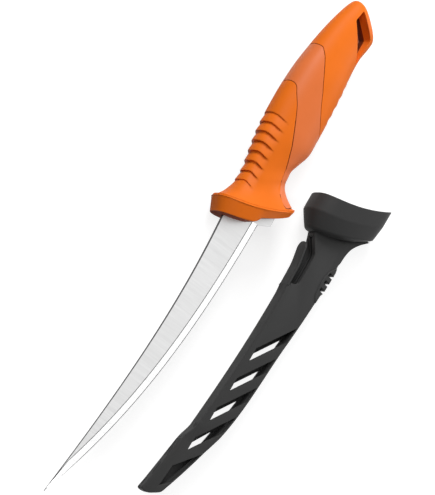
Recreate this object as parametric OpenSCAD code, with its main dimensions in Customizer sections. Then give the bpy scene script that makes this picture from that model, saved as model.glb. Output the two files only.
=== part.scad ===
// Fillet knife and its moulded sheath, lying side by side on their flat sides.
// X runs from the tips to the butt, Y from the cutting edge to the spine, Z up.
// Both are drawn round the point where the blade's spine leaves the guard, with the
// blade's middle plane at zero, and are then set beside each other.

/* [Blade] */
// Length of the blade from the guard to the tip
blade_len = 177.5; // [150:0.5:220]
// Width of the blade at its heel
blade_w = 21.3; // [18:0.1:23]
// Thickness of the blade at the spine
blade_t = 2; // [1.4:0.1:2.4]
// Thickness left at the cutting edge
edge_t = 0.3; // [0.2:0.05:0.6]
// Thickness of the blade near the tip
tip_t = 1.1; // [0.7:0.1:1.3]
// Width of the ground bevel along the edge
bevel_w = 4.1; // [2.5:0.1:6]
// How far the tip rises above the line of the spine
tip_rise = 7.7; // [5:0.1:11]
// How far the unsharpened heel reaches below the edge
heel_drop = 6.9; // [4:0.1:8]
// Length of the unsharpened heel in front of the plug
heel_len = 4.2; // [3:0.1:5]
// Reach of the hidden tang into the handle
tang_len = 88; // [60:1:92]
// Width of the hidden tang
tang_w = 12; // [8:0.5:13]
// Diameter of the moulding holes in the tang
tang_hole_d = 5; // [3:0.5:6]

/* [Handle] */
// Reach of the handle behind the root of the blade's spine
handle_len = 149.8; // [135:0.1:165]
// Width of the handle at its swell
handle_w = 33.2; // [30:0.1:36]
// Thickness of the handle at its swell
handle_t = 23.2; // [21:0.1:27]
// Thickness of the soft skin over the hard core
skin_t = 2.6; // [2:0.1:3]
// Number of thumb ribs on the spine side
rib_count = 8; // [5:1:8]
// Distance from one thumb rib to the next
rib_pitch = 6.1; // [5:0.1:6.4]
// Depth of the scallops between the thumb ribs
rib_depth = 0.9; // [0.4:0.1:1.2]
// Length of the lanyard hole along the slanted butt
lanyard_len = 17; // [14:0.5:18]
// Width of the lanyard hole at its wide end
lanyard_w = 11.2; // [9:0.1:12]
// Width of the bevel round the lanyard hole
lanyard_bevel = 1.6; // [0.8:0.1:2]

/* [Guard] */
// Width of the guard from its spine side to its edge side
guard_w = 45.2; // [42:0.1:49]
// Thickness of the guard
guard_t = 29; // [28:0.1:33]
// Height of the guard above the blade's spine
guard_rise = 9.9; // [8:0.1:11]
// How far the rim's spine side lies behind the root of the blade's spine
guard_lead = 7.4; // [6:0.1:9]
// How far the guard's edge side is swept back towards the butt
guard_sweep = 18.6; // [15:0.1:22]
// Depth of the plug that enters the cup
plug_depth = 8.2; // [7:0.1:9]
// Depth of the plug just past its step
plug_step_depth = 5.2; // [4:0.1:6]
// Depth of the plug on its edge side
plug_edge_depth = 2.7; // [2:0.1:4]
// Ledge round the foot of the plug, where the cup's lip seats
plug_ledge = 1.3; // [1:0.1:2]
// Taper of the plug on its spine side
plug_taper = 3.2; // [1:0.1:4]
// Clearance round the plug in the cup
plug_clear = 0.35; // [0.2:0.05:0.6]

/* [Sheath] */
// Thickness of the sheath's body
sheath_t = 8.6; // [8:0.1:10]
// Thickness of the sheath along the blade's last third
sheath_tip_t = 5.6; // [5.2:0.1:7]
// Thickness of the two face walls
face_wall = 1.7; // [1.4:0.1:1.8]
// Thickness of the walls along the spine and the edge
side_wall = 1; // [0.8:0.1:2]
// Clearance round the blade in its channel
blade_clear = 0.4; // [0.3:0.05:0.8]
// Length of the sheath beyond the blade's tip
tip_room = 7; // [5:0.5:12]
// Width of the rail beside the edge along the blade's last half
rail_w = 4.6; // [3:0.1:6]
// How far the spine side swells out round the blade's tip
tip_swell = 4; // [0:0.1:5]
// Length of the cup from its mouth to its foot
cup_len = 21.5; // [20:0.1:25]
// How far the cup's mouth is cut back at its edge end
mouth_cut = 2; // [0:0.1:2.5]
// Thickness of the cup at its foot
cup_foot_t = 13; // [11:0.1:16]
// Number of diagonal windows
window_count = 5; // [2:1:5]
// Distance from one window to the next
window_pitch = 19.8; // [18:0.1:20.5]
// Length of a window along the sheath
window_len = 8.3; // [6:0.1:10]
// Length of the last, three-cornered window
last_window_len = 12.6; // [8:0.1:13]
// How far the windows start below the blade's spine
window_drop = 2.3; // [2:0.1:4]
// Margin between the windows and the outline
window_margin = 1.3; // [1:0.1:2]
// How far the back windows lie towards the tip
back_window_shift = 6.6; // [0:0.1:7]
// Width of the rail that closes the back windows
back_rail_w = 2.4; // [1.5:0.1:3]
// Thickness of the thumb pad on the neck's edge side
pad_t = 0.8; // [0.3:0.1:1]
// Number of thumb notches in the pad
notch_count = 3; // [1:1:3]
// Distance from one thumb notch to the next
notch_pitch = 4.9; // [4:0.1:5.5]
// Width of a thumb notch
notch_w = 1.5; // [1:0.1:2]
// Depth of a thumb notch
notch_depth = 1.4; // [0.8:0.1:1.5]

/* [Spring tongue] */
// Length of the tongue from its root to its free end
tongue_len = 26.5; // [20:0.5:27]
// Thickness of the tongue
tongue_t = 1.5; // [1.2:0.1:2]
// Width of the slot between the tongue and the face walls
slot_w = 4.8; // [4.5:0.1:5]
// Gap between the cup's foot and the tongue's free end
tongue_gap = 5.4; // [4:0.1:7]
// How far the tongue's free end flares outwards
tongue_flare = 1; // [0:0.1:1.5]
// Clearance round the tongue's root in its seat
root_clear = 0.06; // [0.03:0.01:0.1]

/* [Layout] */
// Distance from the knife to the sheath, spine to spine
pair_pitch = 52.3; // [50:0.1:70]
// How far the cup's mouth lies behind the guard
pair_step = 37.2; // [0:0.1:60]
// Angle between the knife and the sheath
pair_turn = 0.4; // [0:0.1:1]

/* [Hidden] */

grip_orange = "#E4702A";
core_orange = "#DE7845";
sheath_black = "#3A3A3B";
steel = "#D6D6D8";

$fn = 48;
ring_points = 28;
curve_steps = 28;
// Overrun of cuts
over = 1;

// Plain helpers
function lerp(a, b, s) = a + (b - a) * s;
function smooth(s) = let (c = min(max(s, 0), 1)) c * c * (3 - 2 * c);
function cubic(a, b, c, d, s) =
    a * pow(1 - s, 3) + 3 * b * s * pow(1 - s, 2) + 3 * c * s * s * (1 - s) + d * pow(s, 3);
function power(v, e) = sign(v) * pow(abs(v), e);
function span(a, b, n) = [for (i = [0 : n]) lerp(a, b, i / n)];
function reversed(l) = [for (i = [len(l) - 1 : -1 : 0]) l[i]];

// The blade's two long curves, as shares of the tip's rise and of the blade's width
spine_bow_share = -0.69;
spine_sweep_share = 0.04;
edge_belly_share = -1;
edge_sweep_share = -0.79;
heel_x_share = 0.38;
heel_x = heel_x_share * blade_w;
function spine_at(x) =
    cubic(0, spine_bow_share * tip_rise, spine_sweep_share * tip_rise, tip_rise, -x / blade_len);
function edge_at(x) =
    cubic(-blade_w, edge_belly_share * blade_w, edge_sweep_share * blade_w, tip_rise,
          (heel_x - x) / (heel_x + blade_len));

// A row is one cross-section of the handle or cup: x and y of its spine end, x and y of its edge
// end, half its thickness, and how far its middle bows towards the tip
oval_share = 2.4;
function bowed(a, b, bow, w) = lerp(a, b, w) - 4 * bow * w * (1 - w);
function ring(row, rib = 0) = [
    for (i = [0 : ring_points - 1])
        let (phi = 360 * i / ring_points, full = power(cos(phi), 2 / oval_share),
             cut = 1 - rib * smooth((full - rib_foot_share) / rib_fade_share) / row[4],
             w = (1 - full * cut) / 2)
            [bowed(row[0], row[2], row[5], w), lerp(row[1], row[3], w),
             row[4] * cut * power(sin(phi), 2 / oval_share)]
];
// The same row drawn in by d at its two ends and its faces
function inset_row(row, d) =
    let (span_y = row[1] - row[3], k = d / span_y)
        [lerp(row[0], row[2], k), row[1] - d, lerp(row[2], row[0], k), row[3] + d, row[4] - d, row[5]];
// The row at x in a table of rows, on smooth curves through them
function row_slope(rows, i) =
    let (a = rows[max(i - 1, 0)], b = rows[min(i + 1, len(rows) - 1)]) (b - a) / (b[0] - a[0]);
function row_at(rows, x) =
    let (i = max([for (k = [0 : len(rows) - 2]) rows[k][0] <= x ? k : 0]), h = rows[i + 1][0] - rows[i][0],
         s = (x - rows[i][0]) / h, r = 1 - s)
        rows[i] * (1 + 2 * s) * r * r + row_slope(rows, i) * h * s * r * r
        + rows[i + 1] * s * s * (3 - 2 * s) - row_slope(rows, i + 1) * h * s * s * r;

// A closed solid through a row of rings, from the tip's side to the butt's side
module loft(rings) {
    n = ring_points;
    m = n / 2;
    last = (len(rings) - 1) * n;
    sides = [
        for (k = [0 : len(rings) - 2], i = [0 : n - 1])
            let (a = k * n + i, b = k * n + (i + 1) % n) each [[a, a + n, b], [b, a + n, b + n]]
    ];
    cap = [for (i = [1 : m - 2]) each [[i, i + 1, n - i - 1], [i, n - i - 1, n - i]]];
    whole_cap = concat([[0, 1, n - 1]], cap, [[m - 1, m, m + 1]]);
    far_cap = [for (f = whole_cap) [last + f[2], last + f[1], last + f[0]]];
    polyhedron([for (r = rings) each r], concat(sides, whole_cap, far_cap));
}

// The guard's rim lies on one swept arc, which the cup's mouth shares
guard_bow_share = 0.082;
rim_row = [guard_lead, guard_rise, guard_lead + guard_sweep, guard_rise - guard_w, guard_t / 2,
           guard_bow_share * guard_w];
function rim_x(y) = bowed(rim_row[0], rim_row[2], rim_row[5], (guard_rise - y) / guard_w);
// A ring shifted from the rim's arc and drawn in by its own margins
function rim_ring(top_in, end_in, half_t, shift) = [
    for (p = ring([0, guard_rise - top_in, 0, guard_rise - guard_w + end_in, half_t, 0]))
        [rim_x(p[1]) + shift, p[1], p[2]]
];

// Cross-sections of the grip from its neck to its butt, as shares of the handle's sizes
grip_shares = [
    [0.155, 0.1, 0.256, -0.657, 0.405, 0.036], [0.202, 0.11, 0.289, -0.648, 0.397, 0.018],
    [0.269, 0.169, 0.326, -0.702, 0.427, 0], [0.35, 0.229, 0.377, -0.777, 0.47, 0],
    [0.431, 0.25, 0.431, -0.777, 0.487, 0], [0.538, 0.258, 0.538, -0.759, 0.5, 0],
    [0.646, 0.234, 0.646, -0.732, 0.491, 0], [0.74, 0.178, 0.727, -0.693, 0.457, 0],
    [0.834, 0.105, 0.794, -0.681, 0.414, 0], [0.915, 0.015, 0.845, -0.723, 0.379, 0],
    [0.969, -0.055, 0.868, -0.762, 0.353, 0], [0.991, -0.12, 0.886, -0.759, 0.31, 0],
    [1, -0.23, 0.908, -0.693, 0.224, 0]
];
grip_rows = [
    for (r = grip_shares)
        [r[0] * handle_len, r[1] * handle_w, r[2] * handle_len, r[3] * handle_w, r[4] * handle_t,
         r[5] * handle_w]
];
neck_x = grip_rows[0][0];

// From the rim the guard's back sweeps in to the neck
flare_power = 2.3;
flare_rows = 6;
function flare_row(s) =
    let (e = 1 - pow(1 - s, flare_power), n = grip_rows[0])
        [lerp(rim_row[0], n[0], s), lerp(rim_row[1], n[1], e), lerp(rim_row[2], n[2], s),
         lerp(rim_row[3], n[3], e), lerp(rim_row[4], n[4], e), lerp(rim_row[5], n[5], e)];

// Thumb ribs, counted from their rear end, stand between scallops that die out down the faces
rib_rear_share = 0.431;
rib_foot_share = 0.35;
rib_fade_share = 0.3;
rings_per_rib = 4;
rib_rear_x = rib_rear_share * handle_len;
rib_front_x = rib_rear_x - (rib_count - 1) * rib_pitch;
function scallop(x) =
    x > rib_front_x && x < rib_rear_x ? rib_depth * (1 - cos(360 * (rib_rear_x - x) / rib_pitch)) / 2 : 0;

rear_rings = 14;
grip_xs = concat(
    span(neck_x, rib_rear_x, ceil(rings_per_rib * (rib_rear_x - neck_x) / rib_pitch)),
    [for (i = [1 : rear_rings]) lerp(rib_rear_x, handle_len, i / rear_rings)]
);
module handle_outside() {
    flare = [for (i = [0 : flare_rows - 1]) flare_row(i / flare_rows)];
    grip = [for (x = grip_xs) row_at(grip_rows, x)];
    loft([for (row = concat(flare, grip)) ring(row, scallop(row[0]))]);
}

// The core lies under the skin, from inside the guard to short of the lanyard hole
core_start_share = 0.55;
core_end_share = 0.74;
core_rings = 12;
module handle_inside() {
    front = flare_row(core_start_share);
    xs = span(neck_x, core_end_share * handle_len, core_rings);
    loft([for (row = concat([front], [for (x = xs) row_at(grip_rows, x)])) ring(inset_row(row, skin_t))]);
}

// The two seams between the grips and the band of bare core, as shares of the handle's sizes
front_seam_shares = [
    [0.566, 0.8], [0.562, 0.232], [0.558, 0.181], [0.547, 0.133], [0.528, 0.102], [0.482, -0.015],
    [0.423, -0.136], [0.367, -0.25], [0.318, -0.343], [0.268, -0.437], [0.226, -0.527], [0.16, -0.678],
    [0.158, -0.801], [0.183, -0.982], [0.24, -1.4]
];
rear_seam_shares = [
    [0.74, 0.8], [0.74, 0.18], [0.737, 0.087], [0.709, 0], [0.647, -0.136], [0.587, -0.28],
    [0.54, -0.389], [0.497, -0.524], [0.441, -0.735], [0.24, -1.4]
];
function on_handle(shares) = [for (s = shares) [s[0] * handle_len, s[1] * handle_w]];
module slab(points) {
    linear_extrude(2 * guard_t, center = true)
        polygon(points);
}
module front_zone() {
    seam = on_handle(front_seam_shares);
    slab(concat([[-handle_len / 2, seam[0][1]]], seam, [[-handle_len / 2, seam[len(seam) - 1][1]]]));
}
module band_zone() {
    seam = on_handle(rear_seam_shares);
    slab(concat(on_handle(front_seam_shares), reversed([for (i = [0 : len(seam) - 2]) seam[i]])));
}
module rear_zone() {
    seam = on_handle(rear_seam_shares);
    slab(concat(seam, [[2 * handle_len, seam[len(seam) - 1][1]], [2 * handle_len, seam[0][1]]]));
}

// The plug that enters the cup is deep on its spine side and steps back on its edge side
plug_step_share = 0.53;
step_run_share = 0.02;
plug_root_share = 0.3;
module plug() {
    end_x = rim_x(rim_row[3] + plug_ledge);
    step_y = guard_rise - plug_step_share * guard_w;
    step_x = rim_x(step_y);
    outside_y = 2 * rim_row[3];
    difference() {
        loft([
            rim_ring(plug_ledge + plug_taper, plug_ledge, guard_t / 2 - plug_ledge - plug_taper / 2, -plug_depth),
            rim_ring(plug_ledge, plug_ledge, guard_t / 2 - plug_ledge, 0),
            rim_ring(plug_root_share * guard_w, plug_root_share * guard_w, guard_t / 4, plug_step_depth)
        ]);
        slab([
            [step_x - plug_depth - over, step_y],
            [step_x - plug_depth + step_run_share * guard_w, step_y],
            [step_x - plug_step_depth, step_y - step_run_share * guard_w],
            [end_x - plug_edge_depth, rim_row[3] + plug_ledge],
            [end_x - plug_edge_depth, outside_y], [step_x - plug_depth - over, outside_y]
        ]);
    }
}

// Blade: a row of cross-sections with a flat and a ground bevel, and a plate for heel and tang
bevel_limit_share = 0.85;
function blade_section(x) =
    let (back = spine_at(x), cut = min(edge_at(x), back - edge_t), local_w = back - cut,
         half_t = min(lerp(blade_t, tip_t, max(-x, 0) / blade_len), edge_t + local_w / 2) / 2,
         line = cut + min(bevel_w, bevel_limit_share * local_w), half_edge = edge_t / 2)
        [[x, back, -half_t], [x, back, half_t], [x, line, half_t], [x, cut, half_edge],
         [x, cut, -half_edge], [x, line, -half_t]];
module ground_blade() {
    n = 6;
    xs = span(-blade_len, heel_x, curve_steps);
    points = [for (x = xs) each blade_section(x)];
    last = curve_steps * n;
    sides = [
        for (k = [0 : curve_steps - 1], i = [0 : n - 1])
            let (a = k * n + i, b = k * n + (i + 1) % n) each [[a, a + n, b], [b, a + n, b + n]]
    ];
    tip_cap = [for (i = [1 : n - 2]) [0, i, i + 1]];
    heel_cap = [for (i = [1 : n - 2]) [last, last + i + 1, last + i]];
    polyhedron(points, concat(sides, tip_cap, heel_cap));
}
tang_mid_share = -0.27;
tang_shoulder_share = 0.2;
tang_hole_shares = [0.5, 0.68, 0.86];
heel_low_y = -blade_w - heel_drop;
heel_back_x = heel_x + heel_len;
tang_mid_y = tang_mid_share * handle_w;
module blade_shape() {
    shoulder_x = tang_shoulder_share * handle_len;
    top_y = tang_mid_y + tang_w / 2;
    low_y = tang_mid_y - tang_w / 2;
    chamfer = tang_w / 4;
    ground_blade();
    difference() {
        linear_extrude(blade_t, center = true)
            polygon([
                [0, 0], [heel_back_x, 0], [shoulder_x, top_y], [tang_len - chamfer, top_y],
                [tang_len, top_y - chamfer], [tang_len, low_y + chamfer], [tang_len - chamfer, low_y],
                [shoulder_x, low_y], [heel_back_x + heel_len, heel_low_y], [heel_back_x, heel_low_y],
                [heel_x, -blade_w], [0, bevel_w - blade_w]
            ]);
        for (s = tang_hole_shares)
            translate([s * tang_len, tang_mid_y, 0])
                cylinder(d = tang_hole_d, h = 2 * blade_t, center = true);
    }
}

// The lanyard hole's corners as shares of its length and width, from its corner near the edge
lanyard_shares = [[0.77, 0.54], [1, 0], [0, 0], [-0.55, 1]];
lanyard_place_shares = [0.886, -0.605];
lanyard_turn = 47;
bevel_slant_shares = [-0.6, -0.8];
bevel_floor_share = 0.25;
bevel_top_share = 0.41;
module lanyard_outline(h) {
    linear_extrude(h, center = true)
        polygon([for (s = lanyard_shares) [s[0] * lanyard_len, s[1] * lanyard_w]]);
}
module lanyard_hole() {
    translate([lanyard_place_shares[0] * handle_len, lanyard_place_shares[1] * handle_w, 0])
        rotate([0, 0, lanyard_turn]) {
            lanyard_outline(2 * handle_t);
            for (side = [-1, 1])
                hull() {
                    translate([0, 0, side * bevel_floor_share * handle_t])
                        lanyard_outline(edge_t);
                    translate([bevel_slant_shares[0] * lanyard_bevel, bevel_slant_shares[1] * lanyard_bevel,
                               side * bevel_top_share * handle_t])
                        lanyard_outline(edge_t);
                }
        }
}

// Outlines of the blade's channel and of the sheath's body, both followed from the blade
rail_start_share = 0.42;
rail_end_share = 0.8;
swell_start_share = 0.78;
swell_end_share = 0.86;
pad_shares = [0.115, 0.145, 0.215, 0.23];
function rail(x) =
    rail_w * smooth((-x / blade_len - rail_start_share) / (rail_end_share - rail_start_share));
function swell(x) =
    tip_swell * smooth((-x / blade_len - swell_start_share) / (swell_end_share - swell_start_share));
function pad(x) =
    let (s = -x / blade_len)
        pad_t * smooth((s - pad_shares[0]) / (pad_shares[1] - pad_shares[0]))
        * (1 - smooth((s - pad_shares[2]) / (pad_shares[3] - pad_shares[2])));
function body_back(x) = spine_at(x) + blade_clear + side_wall + swell(x);
function body_cut(x) = edge_at(x) - blade_clear - side_wall - rail(x) - pad(x);
body_end_x = -blade_len - tip_room;
neck_start_share = 0.115;
body_start_x = -neck_start_share * blade_len;

// The tongue's root and free end
foot_x = guard_lead - cup_len;
tongue_end_x = foot_x - tongue_gap;
root_x = tongue_end_x - tongue_len;
knuckle_share = 0.6;
knuckle_r = knuckle_share * tongue_t;
flare_start_share = 0.45;
function tongue_inside(x) =
    let (s = (x - root_x) / tongue_len)
        spine_at(x) + blade_clear + tongue_flare * smooth((s - flare_start_share) / (1 - flare_start_share));
root_y = tongue_inside(root_x) + knuckle_r;

// Edge side of the neck between the cup and the body, as shares of the cup's length and the blade's width
neck_shares = [[-0.3, -1.65], [-0.047, -1.5], [0.14, -1.315], [0.38, -1.155], [0.62, -1.09], [0.85, -1.07]];
// The end of the body past the tip: shares of the tip room and of the body's width there
end_shares = [[0.4, 0], [0.8, 0.06], [1, 0.25], [1, 0.42], [0.85, 0.72], [0.6, 0.94], [0.38, 1]];
end_back_y = body_back(-blade_len);
end_cut_y = body_cut(-blade_len);
body_steps = 32;
module body_outline_slab() {
    xs = span(body_start_x, -blade_len, body_steps);
    linear_extrude(sheath_t, center = true)
        polygon(concat(
            [for (s = reversed(neck_shares)) [-s[0] * cup_len, s[1] * blade_w]],
            [[cup_len, 0], [0, body_back(0)]],
            [for (x = xs) [x, body_back(x)]],
            [for (s = end_shares) [-blade_len - s[0] * tip_room, lerp(end_back_y, end_cut_y, s[1])]],
            [for (x = reversed(xs)) [x, body_cut(x)]]
        ));
}

// The sheath thins from its body to its tip: a profile seen from the side, closed below the middle
thin_start_share = 0.777;
thin_end_share = 0.845;
module side_profile(body_half, tip_half, reach) {
    far = 2 * body_end_x;
    rotate([90, 0, 0])
        linear_extrude(4 * guard_w, center = true)
            polygon([
                [cup_len + reach, -body_half], [cup_len + reach, body_half],
                [-thin_start_share * blade_len, body_half], [-thin_end_share * blade_len, tip_half],
                [far, tip_half], [far, -tip_half], [-thin_end_share * blade_len, -tip_half],
                [-thin_start_share * blade_len, -body_half]
            ]);
}

// The channel that takes the blade, heel and all
channel_h = sheath_t / 2 - face_wall;
module channel() {
    xs = span(-blade_len - blade_clear, heel_x - blade_clear, curve_steps);
    low_y = heel_low_y - blade_clear;
    mouth_x = rim_x(low_y) + over;
    intersection() {
        linear_extrude(sheath_t, center = true)
            polygon(concat(
                [for (x = xs) [x, min(edge_at(x), spine_at(x)) - blade_clear]],
                [[heel_back_x - 2 * blade_clear, low_y], [mouth_x, low_y], [mouth_x, blade_clear]],
                [for (x = reversed(xs)) [x, spine_at(x) + blade_clear]]
            ));
        side_profile(channel_h, sheath_tip_t / 2 - face_wall, mouth_x);
    }
}

// The crease where the cup's foot meets the neck, as shares of the cup's length and the blade's width
crease_shares = [[0.75, 0.8], [0.66, 0.2], [0.577, -0.066], [0.433, -0.404], [0.312, -0.84],
                 [0.107, -1.22], [-0.033, -1.465], [-0.2, -2]];
crease = [for (s = crease_shares) [-s[0] * cup_len, s[1] * blade_w]];
module cup_zone() {
    slab(concat(crease, [[3 * cup_len, crease[len(crease) - 1][1]], [3 * cup_len, crease[0][1]]]));
}
module neck_zone() {
    far = 2 * body_end_x;
    slab(concat(reversed(crease), [[far, crease[0][1]], [far, crease[len(crease) - 1][1]]]));
}

// Cross-sections of the cup from past its foot to its mouth: shares of its length and the guard's width
cup_shares = [
    [-0.76, -0.05, 0.02, -0.64, 1, 0.02], [-0.62, 0.0, 0.1, -0.71, 1.3, 0.03],
    [-0.58, 0.09, 0.17, -0.745, 1.62, 0.04], [-0.42, 0.166, 0.33, -0.77, 1.95, 0.055],
    [-0.19, 0.212, 0.61, -0.778, 2.13, 0.07]
];
cup_rows = concat(
    [for (r = cup_shares) [r[0] * cup_len, r[1] * guard_w, r[2] * cup_len, r[3] * guard_w,
                           r[4] * cup_foot_t / 2, r[5] * guard_w]],
    [rim_row - [0, 0, mouth_cut, 0, 0, 0]]
);
cup_rings = 14;
module cup_outside() {
    loft([for (x = span(cup_rows[0][0], guard_lead, cup_rings)) ring(row_at(cup_rows, x))]);
}
// Inside the cup: the plug's seat, then a funnel that leads the blade into its channel. Each row of
// shares says how far its margins, its thickness and its place have gone from seat to channel.
funnel_shares = [[0.9, 1, 1], [0.5, 0.64, 0.7]];
module cup_inside() {
    mouth_in = plug_ledge - plug_clear;
    mouth_half = guard_t / 2 - mouth_in;
    seat_top = mouth_in + plug_taper;
    seat_half = mouth_half - plug_taper / 2;
    floor_x = -plug_depth - plug_clear;
    deep_top = guard_rise - blade_clear;
    deep_end = guard_w + heel_low_y - guard_rise - blade_clear;
    funnel = [
        for (s = funnel_shares)
            rim_ring(lerp(seat_top, deep_top, s[0]), lerp(mouth_in, deep_end, s[0]),
                     lerp(seat_half, channel_h, s[1]), lerp(floor_x, -cup_len, s[2]))
    ];
    loft(concat(funnel, [
        rim_ring(seat_top, mouth_in, seat_half, floor_x),
        rim_ring(mouth_in, mouth_in, mouth_half, 0),
        rim_ring(mouth_in, mouth_in, mouth_half, over)
    ]));
}

// Diagonal windows: front ones through to the rail, back ones short of it
window_lead_share = 0.485;
window_run_shares = [0.16, -0.11];
module window(i, shift, wide) {
    x = -window_lead_share * blade_len - i * window_pitch;
    top_y = spine_at(x) - window_drop;
    run = window_run_shares * blade_len;
    far_x = x - shift + run[0];
    slab([[x - shift, top_y], [x - shift - wide, top_y], [far_x - wide, top_y + run[1]], [far_x, top_y + run[1]]]);
}
module inside_outline(margin) {
    xs = span(-blade_len - tip_room / 2, body_start_x, body_steps);
    slab(concat([for (x = xs) [x, body_cut(x) + margin]], [[body_start_x, guard_w], [body_end_x, guard_w]]));
}
module front_windows() {
    for (i = [0 : window_count - 1])
        intersection() {
            window(i, 0, i == window_count - 1 ? last_window_len : window_len);
            inside_outline(window_margin);
        }
}
module back_windows() {
    for (i = [0 : window_count - 2])
        intersection() {
            window(i, back_window_shift, window_len);
            inside_outline(back_rail_w);
        }
}

// Thumb notches, slanted towards the cup
notch_turn = 27;
notch_first_share = 0.158;
module notches() {
    for (i = [0 : notch_count - 1]) {
        x = -notch_first_share * blade_len - i * notch_pitch;
        translate([x, body_cut(x), 0])
            rotate([0, 0, -notch_turn])
                cube([notch_w, 2 * notch_depth, 2 * sheath_t], center = true);
    }
}

// The room round the tongue: shares of the tongue's length from its root and of the slot's width
slot_shares = [[0, -2], [0, 0.05], [0.06, 0.05], [0.08, 0.5], [0.12, 0.85], [0.2, 1], [0.45, 1], [0.7, 1],
               [0.94, 1], [1.04, 0.8], [1.08, 0.3], [1.1, -0.2], [1.12, -0.6], [1.14, -2]];
module tongue_room() {
    slab([
        for (s = slot_shares)
            let (x = root_x + s[0] * tongue_len) [x, spine_at(x) + blade_clear - s[1] * slot_w]
    ]);
    translate([root_x, root_y, 0])
        cylinder(r = knuckle_r + root_clear, h = 2 * sheath_t, center = true);
}
module shell_blank() {
    difference() {
        intersection() {
            body_outline_slab();
            neck_zone();
            side_profile(sheath_t / 2, sheath_tip_t / 2, over);
        }
        channel();
        cup_inside();
        tongue_room();
        notches();
    }
}
module half_space(side) {
    translate([body_end_x, 0, side * sheath_t / 2])
        cube([-4 * body_end_x, -4 * body_end_x, sheath_t], center = true);
}

// The knife and the sheath beside each other, over the middle of what they cover
middle_x = (handle_len - blade_len) / 2;
cup_low_y = rim_row[2] * sin(pair_turn) + rim_row[3] * cos(pair_turn);
middle_y = (guard_rise + cup_low_y - pair_pitch) / 2;
module knife_place() {
    translate([-middle_x, -middle_y, guard_t / 2])
        children();
}
module sheath_place() {
    translate([pair_step - middle_x, -pair_pitch - middle_y, guard_t / 2])
        rotate([0, 0, pair_turn])
            children();
}

module blade() {
    color(steel)
        knife_place()
            blade_shape();
}
module handle_core() {
    color(core_orange)
        knife_place()
            difference() {
                union() {
                    handle_inside();
                    intersection() {
                        handle_outside();
                        band_zone();
                    }
                }
                blade_shape();
            }
}
module front_grip() {
    color(grip_orange)
        knife_place()
            difference() {
                intersection() {
                    union() {
                        handle_outside();
                        plug();
                    }
                    front_zone();
                }
                handle_inside();
                blade_shape();
            }
}
module rear_grip() {
    color(grip_orange)
        knife_place()
            difference() {
                intersection() {
                    handle_outside();
                    rear_zone();
                }
                handle_inside();
                lanyard_hole();
            }
}
module sheath_cup() {
    color(sheath_black)
        sheath_place()
            difference() {
                intersection() {
                    cup_outside();
                    cup_zone();
                }
                cup_inside();
                channel();
            }
}
module sheath_front_shell() {
    color(sheath_black)
        sheath_place()
            difference() {
                intersection() {
                    shell_blank();
                    half_space(1);
                }
                front_windows();
            }
}
module sheath_back_shell() {
    color(sheath_black)
        sheath_place()
            difference() {
                intersection() {
                    shell_blank();
                    half_space(-1);
                }
                back_windows();
            }
}
// The tongue's free end is round when seen from the spine side
module tongue_round() {
    round_x = tongue_end_x - sheath_t / 2;
    rotate([90, 0, 0])
        linear_extrude(2 * guard_w, center = true) {
            translate([round_x, 0])
                circle(d = sheath_t);
            translate([2 * round_x, -sheath_t / 2])
                square([-round_x, sheath_t]);
        }
}
module spring_tongue() {
    xs = span(root_x, tongue_end_x - tongue_t / 2, curve_steps / 2);
    end_y = tongue_inside(tongue_end_x) + tongue_t / 2;
    color(sheath_black)
        sheath_place() {
            intersection() {
                union() {
                    linear_extrude(sheath_t, center = true)
                        polygon(concat(
                            [for (x = xs) [x, tongue_inside(x)]],
                            [for (x = reversed(xs)) [x, tongue_inside(x) + tongue_t]]
                        ));
                    translate([tongue_end_x - tongue_t / 2, end_y, 0])
                        cylinder(d = tongue_t, h = sheath_t, center = true);
                }
                tongue_round();
            }
            translate([root_x, root_y, 0])
                cylinder(r = knuckle_r, h = sheath_t, center = true);
        }
}

blade();
handle_core();
front_grip();
rear_grip();
sheath_cup();
sheath_front_shell();
sheath_back_shell();
spring_tongue();
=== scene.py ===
"""Looks of a fillet knife and its moulded sheath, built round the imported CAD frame.

Every shape is worked out in millimetres round the point where the blade's spine leaves the guard,
with X towards the butt, Y towards the spine and Z up, and is then put where the CAD puts it.
"""

import math

import bmesh
import bpy
import numpy as np
from bpy.props import FloatProperty, FloatVectorProperty, PointerProperty
from mathutils import Matrix, Vector
from mathutils.geometry import tessellate_polygon


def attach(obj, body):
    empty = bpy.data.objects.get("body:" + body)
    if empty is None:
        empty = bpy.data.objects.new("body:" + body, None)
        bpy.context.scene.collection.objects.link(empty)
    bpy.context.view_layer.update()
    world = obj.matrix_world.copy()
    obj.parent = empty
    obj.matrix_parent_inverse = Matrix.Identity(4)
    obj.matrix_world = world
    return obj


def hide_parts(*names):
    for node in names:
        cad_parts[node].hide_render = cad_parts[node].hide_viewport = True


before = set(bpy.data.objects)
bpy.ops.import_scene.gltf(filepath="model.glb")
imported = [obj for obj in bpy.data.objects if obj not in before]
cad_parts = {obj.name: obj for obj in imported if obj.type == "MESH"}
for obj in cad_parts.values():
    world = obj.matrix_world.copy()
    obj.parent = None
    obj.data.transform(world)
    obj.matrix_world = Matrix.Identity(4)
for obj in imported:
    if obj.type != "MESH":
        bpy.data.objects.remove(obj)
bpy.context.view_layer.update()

bl_info = {
    "name": "Fillet Knife and Sheath",
    "version": (1, 0, 0),
    "blender": (4, 5, 0),
    "location": "View3D > Sidebar > Fillet Knife",
    "description": "Builds the detailed surfaces, finishes and stage of a fillet knife with its sheath",
    "category": "Object",
}

MM = 0.001

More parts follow.
